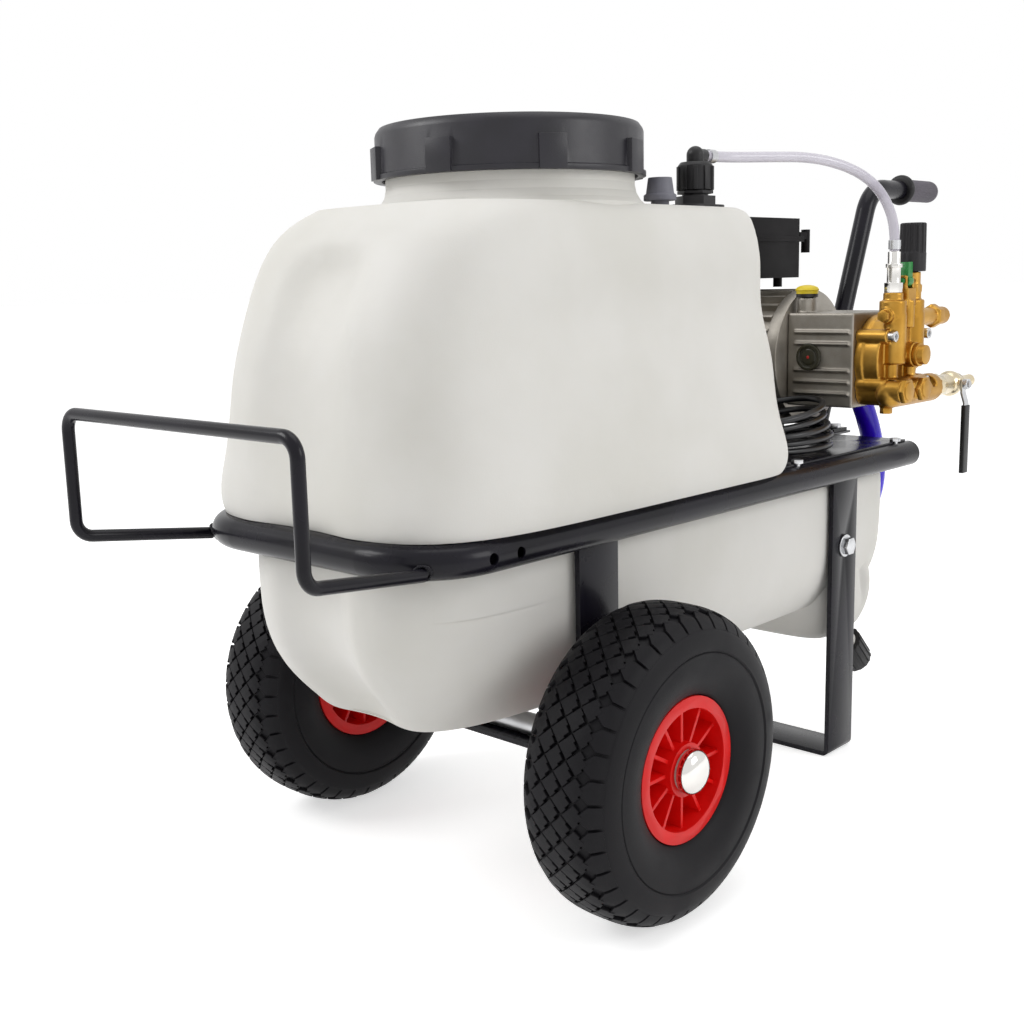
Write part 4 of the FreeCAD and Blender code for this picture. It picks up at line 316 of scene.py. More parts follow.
def blueTube():
    look = Look("blueTube")
    cloud = look.noise(50, 3).between(0.3, 0.8)
    return look.give(Base_Color=look.mix(cloud, linear(52, 4, 226), linear(42, 0, 204)),
                     Roughness=0.22 + cloud * 0.06, Normal=look.bump(cloud, 0.0001))


def oilCapLook():
    values = {"lid": (228, 202, 40), "base": (34, 33, 34), "edge": 0.494}
    look = Look("oilCapLook")
    upper = look.axes()[2] > values["edge"]
    fine = look.noise(900, 2)
    return look.give(Base_Color=look.mix(upper, linear(*values["base"]), linear(*values["lid"])),
                     Roughness=0.4 + fine * 0.1, Normal=look.bump(fine, 0.0001))


finishes = {
    "framePaint": framePaint(),
    "tankPlastic": tankPlastic(),
    "tyreRubber": tyreRubber(),
    "rimRed": mouldedPlastic("rimRed", (230, 16, 14), 0.3, 0.00004, 0.88, 0.3),
    "black": mouldedPlastic("black", (22, 21, 23), 0.42, gloss=0.35),
    "lidBlack": mouldedPlastic("lidBlack", (30, 28, 36), 0.36, gloss=0.45),
    "boxBlack": mouldedPlastic("boxBlack", (20, 18, 20), 0.5, gloss=0.12),
    "knobBlack": mouldedPlastic("knobBlack", (26, 24, 27), 0.5, gloss=0.35),
    "gripGrey": mouldedPlastic("gripGrey", (92, 87, 96), 0.55),
    "ventGrey": mouldedPlastic("ventGrey", (112, 112, 122), 0.45),
    "natural": mouldedPlastic("natural", (206, 204, 196), 0.5),
    "leverGreen": mouldedPlastic("leverGreen", (36, 140, 62), 0.35),
    "sightGlass": mouldedPlastic("sightGlass", (52, 50, 34), 0.12, 0.00001),
    "dotRed": mouldedPlastic("dotRed", (190, 30, 18), 0.3, 0.00001),
    "rockerRed": mouldedPlastic("rockerRed", (170, 26, 20), 0.3),
    "sleeveBlack": mouldedPlastic("sleeveBlack", (18, 18, 20), 0.38, gloss=0.4),
    "cableBlack": mouldedPlastic("cableBlack", (20, 20, 23), 0.3, 0.00003, gloss=0.45),
    "fanBlack": mouldedPlastic("fanBlack", (46, 46, 48), 0.5),
    "ceramic": mouldedPlastic("ceramic", (232, 230, 222), 0.2, 0.00002, 0.95),
    "brass": castMetal("brass", (192, 148, 70), (168, 124, 50), 0.3, 0.00006),
    "aluminium": castMetal("aluminium", (164, 159, 151), (144, 139, 131), 0.4, 0.00012),
    "zinc": brightMetal("zinc", (205, 206, 208), 0.26),
    "chrome": brightMetal("chrome", (226, 224, 220), 0.12),
    "nickel": brightMetal("nickel", (216, 202, 172), 0.2),
    "steel": brightMetal("steel", (186, 186, 188), 0.3),
    "clearTube": clearTube(),
    "blueTube": blueTube(),
    "oilCapLook": oilCapLook(),
}

nodeFinish = {
    "axle": "steel", "end_caps": "chrome", "left_tyre": "tyreRubber", "right_tyre": "tyreRubber",
    "left_rim": "rimRed", "right_rim": "rimRed", "left_bushes": "natural",
    "right_bushes": "natural", "frame_tube": "framePaint", "front_strap": "framePaint",
    "rear_strap": "framePaint", "strap_bolts": "zinc", "pump_plate": "framePaint",
    "plate_bolts": "zinc", "handle_tube": "framePaint", "handle_grip": "gripGrey",
    "tank": "tankPlastic", "lid_ring": "lidBlack", "lid_disc": "lidBlack", "lid_seal": "black",
    "strainer_basket": "natural", "vent_cap": "ventGrey", "return_adaptor": "black",
    "return_nut": "black", "return_elbow": "black", "return_hose": "clearTube",
    "hose_clamps": "zinc", "return_tail": "chrome", "motor_housing": "aluminium",
    "motor_shields": "aluminium", "motor_bearings": "steel", "motor_shaft": "steel",
    "rotor": "steel", "stator": "steel", "motor_fan": "fanBlack", "fan_cowl": "boxBlack",
    "switch_box_base": "boxBlack", "switch_box_cover": "boxBlack", "switch_rocker": "rockerRed",
    "crankcase": "aluminium", "sight_glass": "sightGlass", "oil_cap": "oilCapLook",
    "pump_head": "brass", "head_screws": "zinc", "head_plugs": "brass", "plunger_a": "ceramic",
    "plunger_b": "ceramic", "plunger_c": "ceramic", "regulator_knob": "knobBlack",
    "bypass_lever": "leverGreen", "valve_body": "nickel", "valve_ball": "steel",
    "valve_lever": "zinc", "lever_sleeve": "sleeveBlack", "suction_hose": "blueTube",
    "suction_elbow": "black", "drain_cap": "black", "cable_coil": "cableBlack",
    "cable_lead": "cableBlack", "cable_plug": "cableBlack",
}
for node, finish in nodeFinish.items():
    nodes[node].data.materials.clear()
    nodes[node].data.materials.append(finishes[finish])
print("finishes given to", len(nodeFinish), "nodes")


# Mesh helpers

mergeDistance = 1e-5


def newMesh(name, corners, faces, smooth=True):
    mesh = bpy.data.meshes.new(name)
    mesh.from_pydata([tuple(corner) for corner in corners], [], faces)
    mesh.update()
    if smooth:
        mesh.shade_smooth()
    return mesh


def newPiece(name, mesh, finish=None):
    piece = bpy.data.objects.new(name, mesh)
    scene.collection.objects.link(piece)
    if finish:
        mesh.materials.clear()
        mesh.materials.append(finishes[finish])
    return piece


def smoothBelow(mesh, angle):    # smooth shading, but for edges sharper than the angle
    mesh.shade_smooth()
    mesh.set_sharp_from_angle(angle=math.radians(angle))


def readSpots(mesh):
    spots = np.zeros(len(mesh.vertices) * 3)
    mesh.vertices.foreach_get("co", spots)
    return spots.reshape(-1, 3)


def writeSpots(mesh, spots):
    mesh.vertices.foreach_set("co", np.asarray(spots, float).ravel())
    mesh.update()


def closed(name, bare):    # the mesh that a bmesh holds, which ends there
    mesh = bpy.data.meshes.new(name)
    bare.to_mesh(mesh)
    bare.free()
    return mesh


def bareNode(node):    # the node's own form, its corners merged
    bare = bmesh.new()
    bare.from_mesh(nodes[node].data)
    bmesh.ops.remove_doubles(bare, verts=bare.verts, dist=mergeDistance)
    return bare


def ringFaces(rows, steps):    # faces between rows of corners that each close on themselves
    return [(row * steps + k, row * steps + (k + 1) % steps,
             (row + 1) * steps + (k + 1) % steps, (row + 1) * steps + k)
            for row in range(rows) for k in range(steps)]


def joined(name, *pieces):
    whole = bmesh.new()
    for piece in pieces:
        whole.from_mesh(piece.data)
    mesh = closed(name, whole)
    for material in pieces[0].data.materials:
        mesh.materials.append(material)
    for piece in pieces:
        bpy.data.objects.remove(piece)
    return newPiece(name, mesh)


def settle(piece):    # makes the modifiers' result the piece's own mesh
    bpy.context.view_layer.update()
    seen = piece.evaluated_get(bpy.context.evaluated_depsgraph_get())
    mesh = bpy.data.meshes.new_from_object(seen)
    piece.modifiers.clear()
    piece.data = mesh
    return piece


def revolved(profile, steps):    # (radius, height) points round the z axis, open at its ends
    corners, faces = [], []
    for k in range(steps):
        angle = 2 * math.pi * k / steps
        corners += [(r * math.cos(angle), r * math.sin(angle), z) for r, z in profile]
    count = len(profile)
    for k in range(steps):
        here, there = k * count, (k + 1) % steps * count
        faces += [(here + i, there + i, there + i + 1, here + i + 1) for i in range(count - 1)]
    return corners, faces


def roundedNode(name, node, width, segments=2, angle=28):    # a copy with its edges eased
    flat, smooth = 1.5, 35    # degrees
    bare = bareNode(node)
    bmesh.ops.dissolve_limit(bare, angle_limit=math.radians(flat), verts=bare.verts,
                             edges=bare.edges, delimit={"NORMAL"})
    piece = newPiece(name, closed(name, bare), nodeFinish[node])
    bevel = piece.modifiers.new("ease", "BEVEL")
    bevel.width, bevel.segments = width, segments
    bevel.limit_method, bevel.angle_limit = "ANGLE", math.radians(angle)
    bevel.use_clamp_overlap = True
    settle(piece)
    smoothBelow(piece.data, smooth)
    return piece


def castNode(name, node, voxel, rounds=3):    # a copy with the soft edges of a casting
    piece = newPiece(name, closed(name, bareNode(node)), nodeFinish[node])
    remesh = piece.modifiers.new("skin", "REMESH")
    remesh.mode, remesh.voxel_size, remesh.use_smooth_shade = "VOXEL", voxel, True
    ease = piece.modifiers.new("ease", "SMOOTH")
    ease.factor, ease.iterations = 0.5, rounds
    return settle(piece)


# Eased copies: real edges are rolled, bent, turned or cast

bodyOf = {node: body for body, names in frame["record"]["behaviour"]["bodies"].items()
          for node in names}
easedEdges = {    # metres taken off each edge
    "pump_plate": 0.0005, "front_strap": 0.0006, "rear_strap": 0.0006,
    "switch_box_base": 0.0012, "switch_box_cover": 0.0012, "fan_cowl": 0.0008,
    "motor_shields": 0.0008, "lid_disc": 0.0008, "lid_ring": 0.0009, "vent_cap": 0.0006,
    "return_adaptor": 0.0005, "return_nut": 0.0004, "return_elbow": 0.0005,
    "return_tail": 0.0003, "head_plugs": 0.0005, "head_screws": 0.0004, "strap_bolts": 0.0004,
    "plate_bolts": 0.0004, "oil_cap": 0.0006, "bypass_lever": 0.0006,
    "valve_body": 0.0004, "valve_lever": 0.0004, "lever_sleeve": 0.0008, "drain_cap": 0.0006,
    "left_rim": 0.0007, "right_rim": 0.0007, "sight_glass": 0.0004,
}
castSkins = {"pump_head": 0.00105, "crankcase": 0.0012}    # the finest form that a casting keeps


def pieceName(node):
    first, *others = node.split("_")
    return first + "".join(word.capitalize() for word in others)


def follow(piece, node):    # the piece rides with the node's body and stands for it
    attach(piece, bodyOf[node])
    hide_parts(node)
    return piece


for node, width in easedEdges.items():
    follow(roundedNode(pieceName(node), node, width), node)
for node, voxel in castSkins.items():
    made = follow(castNode(pieceName(node), node, voxel), node)
    print(node, "skin has", len(made.data.polygons), "faces")
print("edges eased on", len(easedEdges), "nodes")


# Tyres: staggered tread blocks and shoulder lugs wrapped round the section

tyre = {"radius": 0.130, "waist": 0.092, "half": 0.0425, "pitches": 40, "step": 0.0104,
        "rows": 5, "groove": 0.0009, "notch": 0.0011, "depth": 0.0031, "lugEnd": 0.0445,
        "ringRadius": 0.0965, "arcSteps": 4000, "slopeStep": 4e-4, "root": 0.0004}
tyre["pitch"] = 2 * math.pi * tyre["radius"] / tyre["pitches"]


def sectionLine():    # radius and offset along the section, by distance from the crown
    share = np.linspace(math.pi / 2, 0, tyre["arcSteps"] + 1)
    radius = tyre["waist"] + (tyre["radius"] - tyre["waist"]) * np.sin(share) ** 0.8
    offset = tyre["half"] * np.cos(share) ** 0.62
    offset[0] = 0
    run = np.concatenate([[0], np.cumsum(np.hypot(np.diff(radius), np.diff(offset)))])
    return run, radius, offset


def wrapped(spots):    # flat (along, across, height) to the tyre round the y axis
    run, radius, offset = sectionLine()
    far, near = np.abs(spots[:, 1]), tyre["slopeStep"]
    r, y = np.interp(far, run, radius), np.interp(far, run, offset)
    ahead = np.interp(far + near, run, radius), np.interp(far + near, run, offset)
    behind = np.interp(far - near, run, radius), np.interp(far - near, run, offset)
    slope = np.stack([ahead[0] - behind[0], ahead[1] - behind[1]])
    slope /= np.maximum(np.linalg.norm(slope, axis=0), 1e-9)
    r = r + spots[:, 2] * slope[1]
    y = (y - spots[:, 2] * slope[0]) * np.where(spots[:, 1] < 0, -1, 1)
    angle = spots[:, 0] / tyre["radius"]
    return np.stack([r * np.cos(angle), y, r * np.sin(angle)], 1)


def blockMesh(name, outline, heights, centre):    # nested rings of one outline, then a middle
    corners, count = [], len(outline)
    for share, height in heights:
        corners += [(centre[0] + (x - centre[0]) * share, centre[1] + (y - centre[1]) * share,
                     height) for x, y in outline]
    faces = ringFaces(len(heights) - 1, count)
    corners.append((*centre, heights[-1][1]))
    last = (len(heights) - 1) * count
    faces += [(last + i, last + (i + 1) % count, len(corners) - 1) for i in range(count)]
    return newMesh(name, corners, faces, smooth=False)


def treadBlock():
    pitch, deep = tyre["pitch"], tyre["depth"]
    g, d = tyre["groove"] / (2 * tyre["step"]) * 1.2, tyre["notch"] / (2 * tyre["step"])
    edge = [(g + d, g + d), (0.5, g + d), (0.5, g - d), (1 - g, g - d), (1 - g, 0.5),
            (1 - g * 0.8, 0.5), (1 - g * 0.8, 1 - g * 0.8), (0.5, 1 - g * 0.8), (0.5, 1 - g),
            (g - d, 1 - g), (g - d, 0.5), (g + d, 0.5)]
    outline = [((a - b) * pitch / 2, (a + b - 1) * tyre["step"]) for a, b in edge]
    return blockMesh("treadBlock", outline,
                     [(1.0, -deep - tyre["root"]), (0.985, -0.0005), (0.93, 0), (0.5, 0)], (0, 0))


def lugMesh(side):
    wide, gap, step = tyre["pitch"] / 2 - 0.0010, 0.0012, tyre["step"]
    start = step * (tyre["rows"] + 1) / 2
    low, end = start - step + gap * 1.2, tyre["lugEnd"]
    outline = [(0, low), (wide, start + gap)]
    outline += [(wide, start + (end - start) * k / 4) for k in (1, 2, 3)]
    outline += [(wide, end), (-wide, end)]
    outline += [(-wide, start + (end - start) * k / 4) for k in (3, 2, 1)] + [(-wide, start + gap)]
    if side < 0:
        outline = [(x, -y) for x, y in outline[::-1]]
    heights = [(1.0, -tyre["depth"] - tyre["root"]), (0.985, -0.0005), (0.95, 0), (0.45, 0)]
    return blockMesh("lug", outline, heights, (0, side * (start + end) / 2 * 0.98))


def carcass():
    run, radius, offset = sectionLine()
    deep, end = tyre["depth"], tyre["lugEnd"]
    profile = []
    for far in np.linspace(0, run[-1], 34):
        sink = deep * (1 - min(max((far - end + 0.006) / 0.006, 0), 1))
        r, y = np.interp(far, run, radius), np.interp(far, run, offset)
        r2, y2 = np.interp(far + 5e-4, run, radius), np.interp(far + 5e-4, run, offset)
        long = math.hypot(r2 - r, y2 - y) or 1
        nr, ny = ((y2 - y) / long, -(r2 - r) / long) if far < run[-1] - 1e-3 else (0, 1)
        if r > tyre["ringRadius"]:
            profile.append((r - sink * nr, y - sink * ny))
    ring = tyre["ringRadius"]
    profile += [(ring + 0.0006, 0.0414), (ring, 0.0409), (ring - 0.0008, 0.0417),
                (ring - 0.005, 0.0420), (0.088, 0.0421), (0.083, 0.0418), (0.078, 0.0409),
                (0.073, 0.0393), (0.068, 0.0367), (0.064, 0.0342), (0.0612, 0.0318),
                (0.0604, 0.0300), (0.0604, 0.0285)]
    whole = [(r, -y) for r, y in profile[::-1]] + profile[1:]
    corners, faces = revolved(whole, 200)
    turned = [(x, z, y) for x, y, z in corners]
    return newMesh("carcass", turned, [face[::-1] for face in faces])


def dressTyre(side, field):
    tread = field.make("tread", treadBlock(), "tyreRubber", columns=tyre["pitches"],
                       rows=tyre["rows"], pitch=tyre["pitch"], step=tyre["step"])
    lugs = [field.make("lugs", lugMesh(way), "tyreRubber", columns=tyre["pitches"], rows=1,
                       pitch=tyre["pitch"], step=0.0) for way in (-1, 1)]
    for piece in [tread] + lugs:
        writeSpots(piece.data, wrapped(readSpots(piece.data)))
    body = newPiece("carcass", carcass(), "tyreRubber")
    whole = joined(side + "Tyre", body, tread, *lugs)
    smoothBelow(whole.data, 32)
    low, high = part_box(side + "_tyre")
    middle = (low + high) / 2
    whole.data.transform(Matrix.Translation(middle))
    whole.data.materials.clear()
    whole.data.materials.append(finishes["tyreRubber"])
    return follow(whole, side + "_tyre")


field, weld = rowsPattern(), beadPattern()
for side in ("left", "right"):
    made = dressTyre(side, field)
    print(side, "tyre has", len(made.data.polygons), "faces")


# Grip: a sleeve with a fine chequer behind a round collar

grip = {"flutes": 30, "rings": 21, "groove": 0.00045, "radius": 0.0135, "collar": 0.0185,
        "collarWidth": 0.009, "length": 0.077, "bore": 0.0112, "fine": 6, "end": 0.009,
        "plainFront": 0.006, "plainEnd": 0.01}


def alongX(corners, middle):    # a shape round the z axis, laid along x
    return [(z + middle[0], x + middle[1], y + middle[2]) for x, y, z in corners]


def gripSleeve(middle):
    fine, length, corners = grip["fine"], grip["length"], []
    rows, steps = grip["rings"] * fine, grip["flutes"] * fine
    for row in range(rows + 1):
        far = length * row / rows
        end = max(far - length + grip["end"], 0) / grip["end"]
        full = grip["radius"] * math.sqrt(max(1 - 0.42 * end ** 2.4, 0.05))
        plain = far < grip["plainFront"] or far > length - grip["plainEnd"]
        for step in range(steps):
            angle = 2 * math.pi * step / steps
            sunk = 0 if plain else grip["groove"] * (row % fine == 0 or step % fine == 0)
            corners.append(((full - sunk) * math.cos(angle), (full - sunk) * math.sin(angle), far))
    faces = ringFaces(rows, steps)
    faces += [tuple(rows * steps + k for k in range(steps)), tuple(range(steps))[::-1]]
    return newPiece("gripSleeve", newMesh("gripSleeve", alongX(corners, middle), faces),
                    "gripGrey")


def gripCollar(middle):
    arc = [math.pi * k / 12 for k in range(13)]
    rim, bore = grip["collarWidth"] / 2, grip["bore"]
    profile = [(bore, -rim)] + [(grip["collar"] - rim + rim * math.sin(a), -rim * math.cos(a))
                                for a in arc] + [(bore, rim)]
    corners, faces = revolved(profile, 64)
    return newPiece("gripCollar", newMesh("gripCollar", alongX(corners, middle), faces), "black")


low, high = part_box("handle_grip")
middle = (low + high) / 2
sleeve = gripSleeve((high[0] - grip["length"], middle[1], middle[2]))
collar = gripCollar((low[0] + grip["collarWidth"] / 2, middle[1], middle[2]))
for piece in (sleeve, collar):
    smoothBelow(piece.data, 50)
    follow(piece, "handle_grip")


# Wheel caps: bright pressed domes on both ends of the axle

capSize = {"radius": 0.0185, "lip": 0.0012, "height": 0.013, "skirt": 0.004, "grip": 0.009}


def capProfile():    # radius and height over the hub
    r, h, skirt = capSize["radius"], capSize["height"], capSize["skirt"]
    arc = [math.pi / 2 * k / 16 for k in range(17)]
    dome = [(r * math.cos(a) ** 0.9, skirt + (h - skirt) * math.sin(a)) for a in arc[:-1]]
    return [(r - 0.002, 0), (r - capSize["lip"] / 2, 0), (r, capSize["lip"] / 2)] + dome + [
        (0.00003, h)]


def wheelCaps():
    low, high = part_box("axle")
    corners, faces = [], []
    for way, tip in ((-1, low[1]), (1, high[1])):
        turned, rings = revolved(capProfile(), 72)
        start = len(corners)
        base = tip - way * capSize["grip"]
        corners += [((low[0] + high[0]) / 2 + way * -x, base + way * z, (low[2] + high[2]) / 2 + y)
                    for x, y, z in turned]
        faces += [tuple(k + start for k in ring) for ring in rings]
    return newPiece("wheelCaps", newMesh("wheelCaps", corners, faces), "chrome")


def tubeCaps():    # the node's own caps in the tube's rear ends
    insideWheels = 0.19    # the axle's caps lie further out than this
    bare = bareNode("end_caps")
    away = [vertex for vertex in bare.verts if abs(vertex.co.y) > insideWheels]
    bmesh.ops.delete(bare, geom=away, context="VERTS")
    mesh = closed("tubeCaps", bare)
    smoothBelow(mesh, 40)
    return newPiece("tubeCaps", mesh, "black")


follow(wheelCaps(), "end_caps")
follow(tubeCaps(), "end_caps")


# Weld beads where the loop's ends meet the tube

welds = {"bead": 0.0016, "loop": [((-0.4477, 0.1303, 0.3110), (0.68, -0.64, 0.37)),
                                  ((-0.4477, -0.1303, 0.3110), (0.68, 0.64, 0.37))],
         "radius": 0.0062, "count": 22}


def beadMesh():
    lump = bmesh.new()
    bmesh.ops.create_icosphere(lump, subdivisions=2, radius=welds["bead"])
    mesh = closed("bead", lump)
    mesh.shade_smooth()
    return mesh


for number, (spot, way) in enumerate(welds["loop"]):
    bead = weld.make("loopWeld" + str(number), beadMesh(), "framePaint", count=welds["count"],
                     radius=welds["radius"], seed=number + 3)
    turned = Vector(way).to_track_quat("Z", "Y").to_matrix().to_4x4()
    bead.data.transform(Matrix.Translation(spot) @ turned)
    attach(bead, "cart")
print("grip and welds made")


# Regulator's knob

knob = {"radius": 0.0138, "flutes": 14, "groove": 0.0016, "band": 0.0185,
        "flute": (0, 0, 0, 0, 0.7, 1, 1, 0.7)}    # how deep a flute is, step by step


def knobMesh(low, high):    # flutes above a plain band, and a dished top
    middle, tall = (low + high) / 2, high[2] - low[2]
    full, flute = knob["radius"], knob["flute"]
    steps = knob["flutes"] * len(flute)
    rows = [(0, full - 0.0006, 0), (0.0006, full, 0), (knob["band"], full, 0),
            (knob["band"] + 0.0006, full - 0.0003, 0.2), (knob["band"] + 0.003, full - 0.0003, 1),
            (tall - 0.0012, full - 0.0006, 1), (tall - 0.0002, full - 0.0016, 0.6),
            (tall, full - 0.003, 0), (tall - 0.0008, full - 0.0042, 0), (tall - 0.0008, 0.0001, 0)]
    corners = []
    for up, radius, cut in rows:
        for step in range(steps):
            angle = 2 * math.pi * step / steps
            sunk = cut * knob["groove"] * flute[step % len(flute)]
            corners.append((middle[0] + (radius - sunk) * math.cos(angle),
                            middle[1] + (radius - sunk) * math.sin(angle), low[2] + up))
    faces = ringFaces(len(rows) - 1, steps) + [tuple(range(steps))[::-1]]
    mesh = newMesh("regulatorKnob", corners, faces)
    smoothBelow(mesh, 35)
    return mesh


follow(newPiece("regulatorKnob", knobMesh(*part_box("regulator_knob")), "knobBlack"),
       "regulator_knob")


# Sight glass: a low dome with a red dot, facing the tank

glass = {"radius": 0.0086, "rise": 0.0012, "dot": 0.0026, "inset": 0.0015,
         "dotRise": 0.0003}


def domed(radius, rise):    # towards -x
    arc = [math.pi / 2 * k / 8 for k in range(9)]
    profile = [(radius * math.cos(a), rise * math.sin(a)) for a in arc[:-1]]
    profile.append((0.00002, rise))
    corners, faces = revolved(profile, 40)
    return [(-z, y, x) for x, y, z in corners], faces


low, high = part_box("sight_glass")
domes = [("sightDome", glass["radius"], glass["rise"], "sightGlass"),
         ("sightDot", glass["dot"], glass["rise"] + glass["dotRise"], "dotRed")]
for name, radius, rise, finish in domes:
    corners, faces = domed(radius, rise)
    centre = Vector((low[0] + glass["inset"], (low[1] + high[1]) / 2, (low[2] + high[2]) / 2))
    corners = [Vector(corner) + centre for corner in corners]
    piece = newPiece(name, newMesh(name, corners, faces), finish)
    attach(piece, "cart")
print("knob and sight glass made")


# Hoses and cable, along the model's own route points

def softLine(name, corners, radius, finish):
    line = bpy.data.curves.new(name, "CURVE")
    line.dimensions = "3D"
    line.bevel_depth, line.bevel_resolution = radius, 8
    line.resolution_u = 10
    line.use_fill_caps = True
    spline = line.splines.new("NURBS")
    spline.points.add(len(corners) - 1)
    for spot, corner in zip(spline.points, corners):
        spot.co = (*corner, 1)
    spline.order_u = 3
    spline.use_endpoint_u = True
    piece = bpy.data.objects.new(name, line)
    line.materials.append(finishes[finish])
    scene.collection.objects.link(piece)
    return piece


def lineLength(piece):
    bare = piece.copy()
    bare.data = piece.data.copy()
    bare.data.bevel_depth = 0
    scene.collection.objects.link(bare)
    bpy.context.view_layer.update()
    seen = bare.evaluated_get(bpy.context.evaluated_depsgraph_get())
    mesh = bpy.data.meshes.new_from_object(seen)
    spots = [vertex.co.copy() for vertex in mesh.vertices]
    bpy.data.objects.remove(bare)
    return sum((after - before).length for before, after in zip(spots, spots[1:]))


axleX = -0.2605    # metres


def fromAxle(spots):    # millimetres from the axle's line
    return [Vector((axleX + x / 1000, y / 1000, z / 1000)) for x, y, z in spots]


def coilCorner(share):
    coil = {"turns": 4.75, "halfLength": 70, "halfWidth": 45, "x": 360, "y": -88, "pitch": 7.1,
            "lean": 22, "base": 335.55}
    angle = math.pi / 2 - 2 * math.pi * coil["turns"] * share
    swell = math.sin(math.pi * share) ** 2
    length = coil["halfLength"] - 8 * share + 4 * swell * math.sin(1.3 * angle)
    width = coil["halfWidth"] + 4 * swell * math.sin(0.8 * angle + 1)
    shift = 2.5 * swell * math.sin(0.6 * angle) - 14 * share
    lean = coil["lean"] * share * (1 + math.cos(angle)) / 2
    return (coil["x"] + shift + length * math.cos(angle), coil["y"] + width * math.sin(angle),
            coil["base"] + coil["pitch"] * coil["turns"] * share + lean)


hoses = {
    "suctionHose": {"node": "suction_hose", "diameter": 0.024, "finish": "blueTube", "spots": [
        (535.8, -74.1, 399), (538.5, -81, 375.5), (547.5, -86.5, 350), (555, -89.5, 324),
        (557, -93, 292), (556, -90, 263), (554, -79, 237), (551, -62, 213.6),
        (550, -53.5, 193)]},
    "returnHose": {"node": "return_hose", "diameter": 0.010, "finish": "clearTube", "spots": [
        (227, -84, 625), (255, -84, 625), (298, -104, 626), (345, -128, 626.5),
        (388, -146, 617), (416, -157, 602), (433, -163.5, 582), (442.5, -167, 558),
        (442.5, -167, 535.5)]},
}
for name, hose in hoses.items():
    corners = fromAxle(hose["spots"])
    piece = softLine(name, corners, hose["diameter"] / 2, hose["finish"])
    length = lineLength(piece)
    follow(piece, hose["node"])
    print(name, "length", round(length, 3))

cable = {"diameter": 0.0065, "coilSteps": 62}
leadSpots = [(396, 21, 532.5), (376, 19.5, 528), (355, 15, 514), (335, 9, 489), (316, 3, 456),
             (298, -6, 422), (287, -20, 394), (283, -40, 376)]
tailSpots = [(315, -34, 338.7), (303, -20, 342.5), (297, -3, 347), (295, 16, 350.4),
             (295, 34, 351)]
coilSpots = [coilCorner(step / cable["coilSteps"]) for step in range(cable["coilSteps"], -1, -1)]
highEnd, lowEnd = (283.96, -81.5, 369.27), (353.5, -42.99, 335.55)    # the coil's two ends
leadSpots += [(284, -62, highEnd[2] + 1), highEnd]
tailSpots = [lowEnd, (lowEnd[0] - 20, lowEnd[1], lowEnd[2] + 0.6)] + tailSpots
route = fromAxle(leadSpots + coilSpots + tailSpots)
mainsCable = softLine("mainsCable", route, cable["diameter"] / 2, "cableBlack")
length = lineLength(mainsCable)
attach(mainsCable, "cart")
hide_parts("cable_lead", "cable_coil")
print("mainsCable length", round(length, 3))


# Studio

def softLamp(name, place, aim, size, power):
    lamp = bpy.data.lights.new(name, "AREA")
    lamp.shape, lamp.size = "SQUARE", size
    lamp.energy = power
    held = bpy.data.objects.new(name, lamp)
    held.location = place
    held.rotation_euler = (Vector(aim) - Vector(place)).to_track_quat("-Z", "Y").to_euler()
    scene.collection.objects.link(held)


def paleWorld(light):
    world = bpy.data.worlds.new("studio")
    world.use_nodes = True
    tree = world.node_tree
    tree.nodes.clear()
    paths = tree.nodes.new("ShaderNodeLightPath")
    seen, mirrored = (tree.nodes.new("ShaderNodeMath") for k in range(2))
    seen.operation = mirrored.operation = "MAXIMUM"
    tree.links.new(paths.outputs["Is Glossy Ray"], mirrored.inputs[0])
    tree.links.new(paths.outputs["Is Transmission Ray"], mirrored.inputs[1])
    tree.links.new(paths.outputs["Is Camera Ray"], seen.inputs[0])
    tree.links.new(mirrored.outputs[0], seen.inputs[1])
    soft, bright = (tree.nodes.new("ShaderNodeBackground") for k in range(2))
    soft.inputs[0].default_value = (1, 1, 1, 1)
    soft.inputs[1].default_value = light
    bright.inputs[0].default_value = (1, 1, 1, 1)
    either, output = tree.nodes.new("ShaderNodeMixShader"), tree.nodes.new("ShaderNodeOutputWorld")
    tree.links.new(seen.outputs[0], either.inputs[0])
    tree.links.new(soft.outputs[0], either.inputs[1])
    tree.links.new(bright.outputs[0], either.inputs[2])
    tree.links.new(either.outputs[0], output.inputs[0])
    scene.world = world


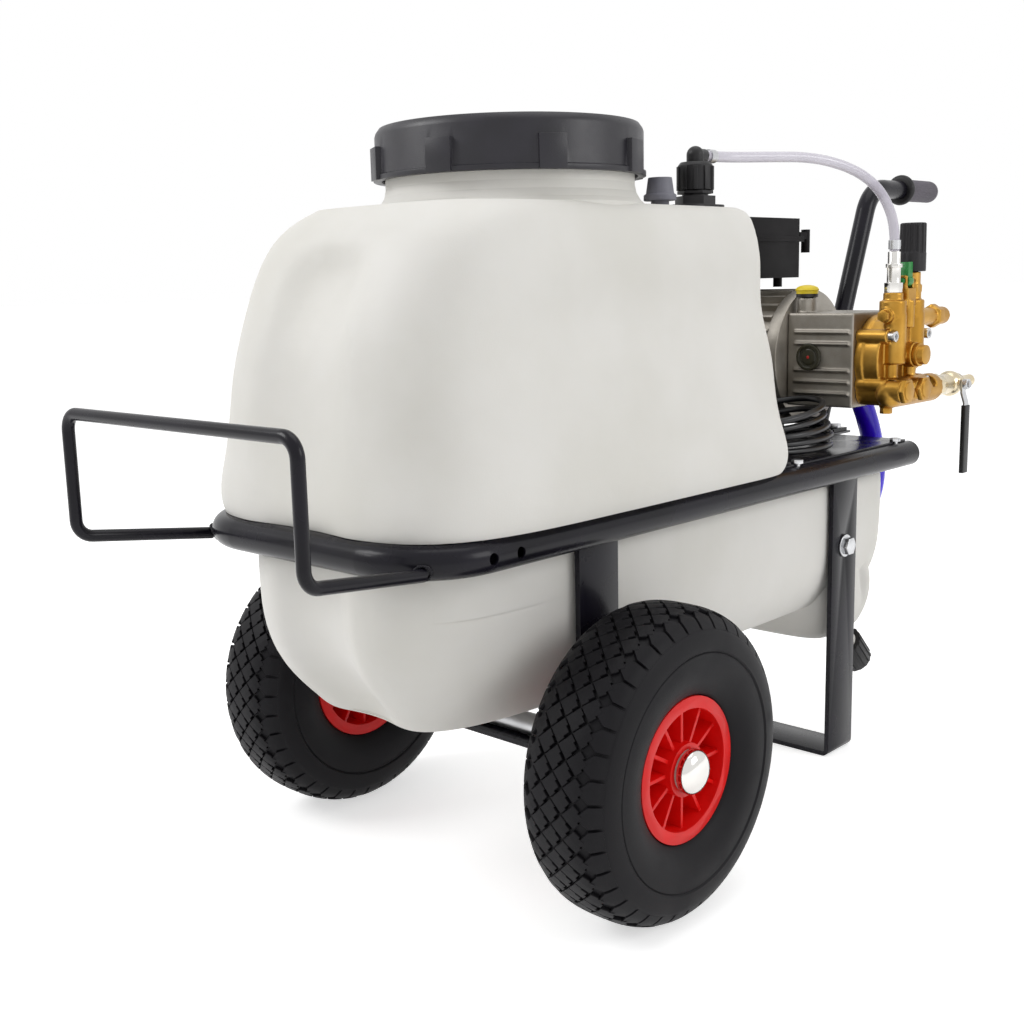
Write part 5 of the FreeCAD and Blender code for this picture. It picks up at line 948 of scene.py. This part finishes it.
studio = {"worldLight": 0.56, "floorColour": (244, 244, 244), "floorGlow": 0.55,
          "floorHalf": 40.0, "lamps": {    # place, aim, size and power
              "keyLamp": ((-2.0, 1.5, 2.2), (-0.1, 0, 0.35), 1.2, 34),
              "topLamp": ((0.2, -0.2, 2.8), (0, 0, 0.3), 1.8, 14),
              "sideLamp": ((0.7, -2.6, 1.5), (0.1, 0, 0.35), 1.2, 20)}}
paleWorld(studio["worldLight"])
for name, lamp in studio["lamps"].items():
    softLamp(name, *lamp)

half = studio["floorHalf"]
floorMesh = bpy.data.meshes.new("floor")
floorMesh.from_pydata([(-half, -half, 0), (half, -half, 0), (half, half, 0), (-half, half, 0)], [],
                      [(0, 1, 2, 3)])
floor = bpy.data.objects.new("floor", floorMesh)
floorLook = Look("floorWhite")
rays = [floorLook.node("ShaderNodeLightPath", output="Is " + kind + " Ray")
        for kind in ("Camera", "Glossy", "Transmission")]
seen = rays[0].maths("MAXIMUM", rays[0], rays[1].maths("MAXIMUM", rays[1], rays[2]))
glow = floorLook.mix(seen, (0, 0, 0, 1), (1, 1, 1, 1))
floorMesh.materials.append(floorLook.give(Base_Color=linear(*studio["floorColour"]),
                                          Roughness=0.8, Emission_Color=glow,
                                          Emission_Strength=studio["floorGlow"]))
scene.collection.objects.link(floor)

view = {"place": (-1.0496, -0.79063, 0.51664), "turn": -46.514, "pitch": 10.328, "roll": -1.3776,
        "lens": 44.89, "sensor": 36, "near": 0.05, "far": 50}
turn, pitch, roll = (math.radians(view[k]) for k in ("turn", "pitch", "roll"))
ahead = Vector((-math.sin(turn) * math.cos(pitch), math.cos(turn) * math.cos(pitch),
                -math.sin(pitch)))
level = Vector((math.cos(turn), math.sin(turn), 0))
upward = level.cross(ahead)
right = level * math.cos(roll) + upward * math.sin(roll)
above = upward * math.cos(roll) - level * math.sin(roll)
lens = bpy.data.cameras.new("camera")
lens.lens, lens.sensor_width = view["lens"], view["sensor"]
lens.clip_start, lens.clip_end = view["near"], view["far"]
camera = bpy.data.objects.new("camera", lens)
camera.matrix_world = Matrix((
    (right.x, above.x, -ahead.x, view["place"][0]), (right.y, above.y, -ahead.y, view["place"][1]),
    (right.z, above.z, -ahead.z, view["place"][2]), (0, 0, 0, 1)))
scene.collection.objects.link(camera)
scene.camera = camera
scene.view_settings.view_transform = "Standard"
print("studio and camera are set")
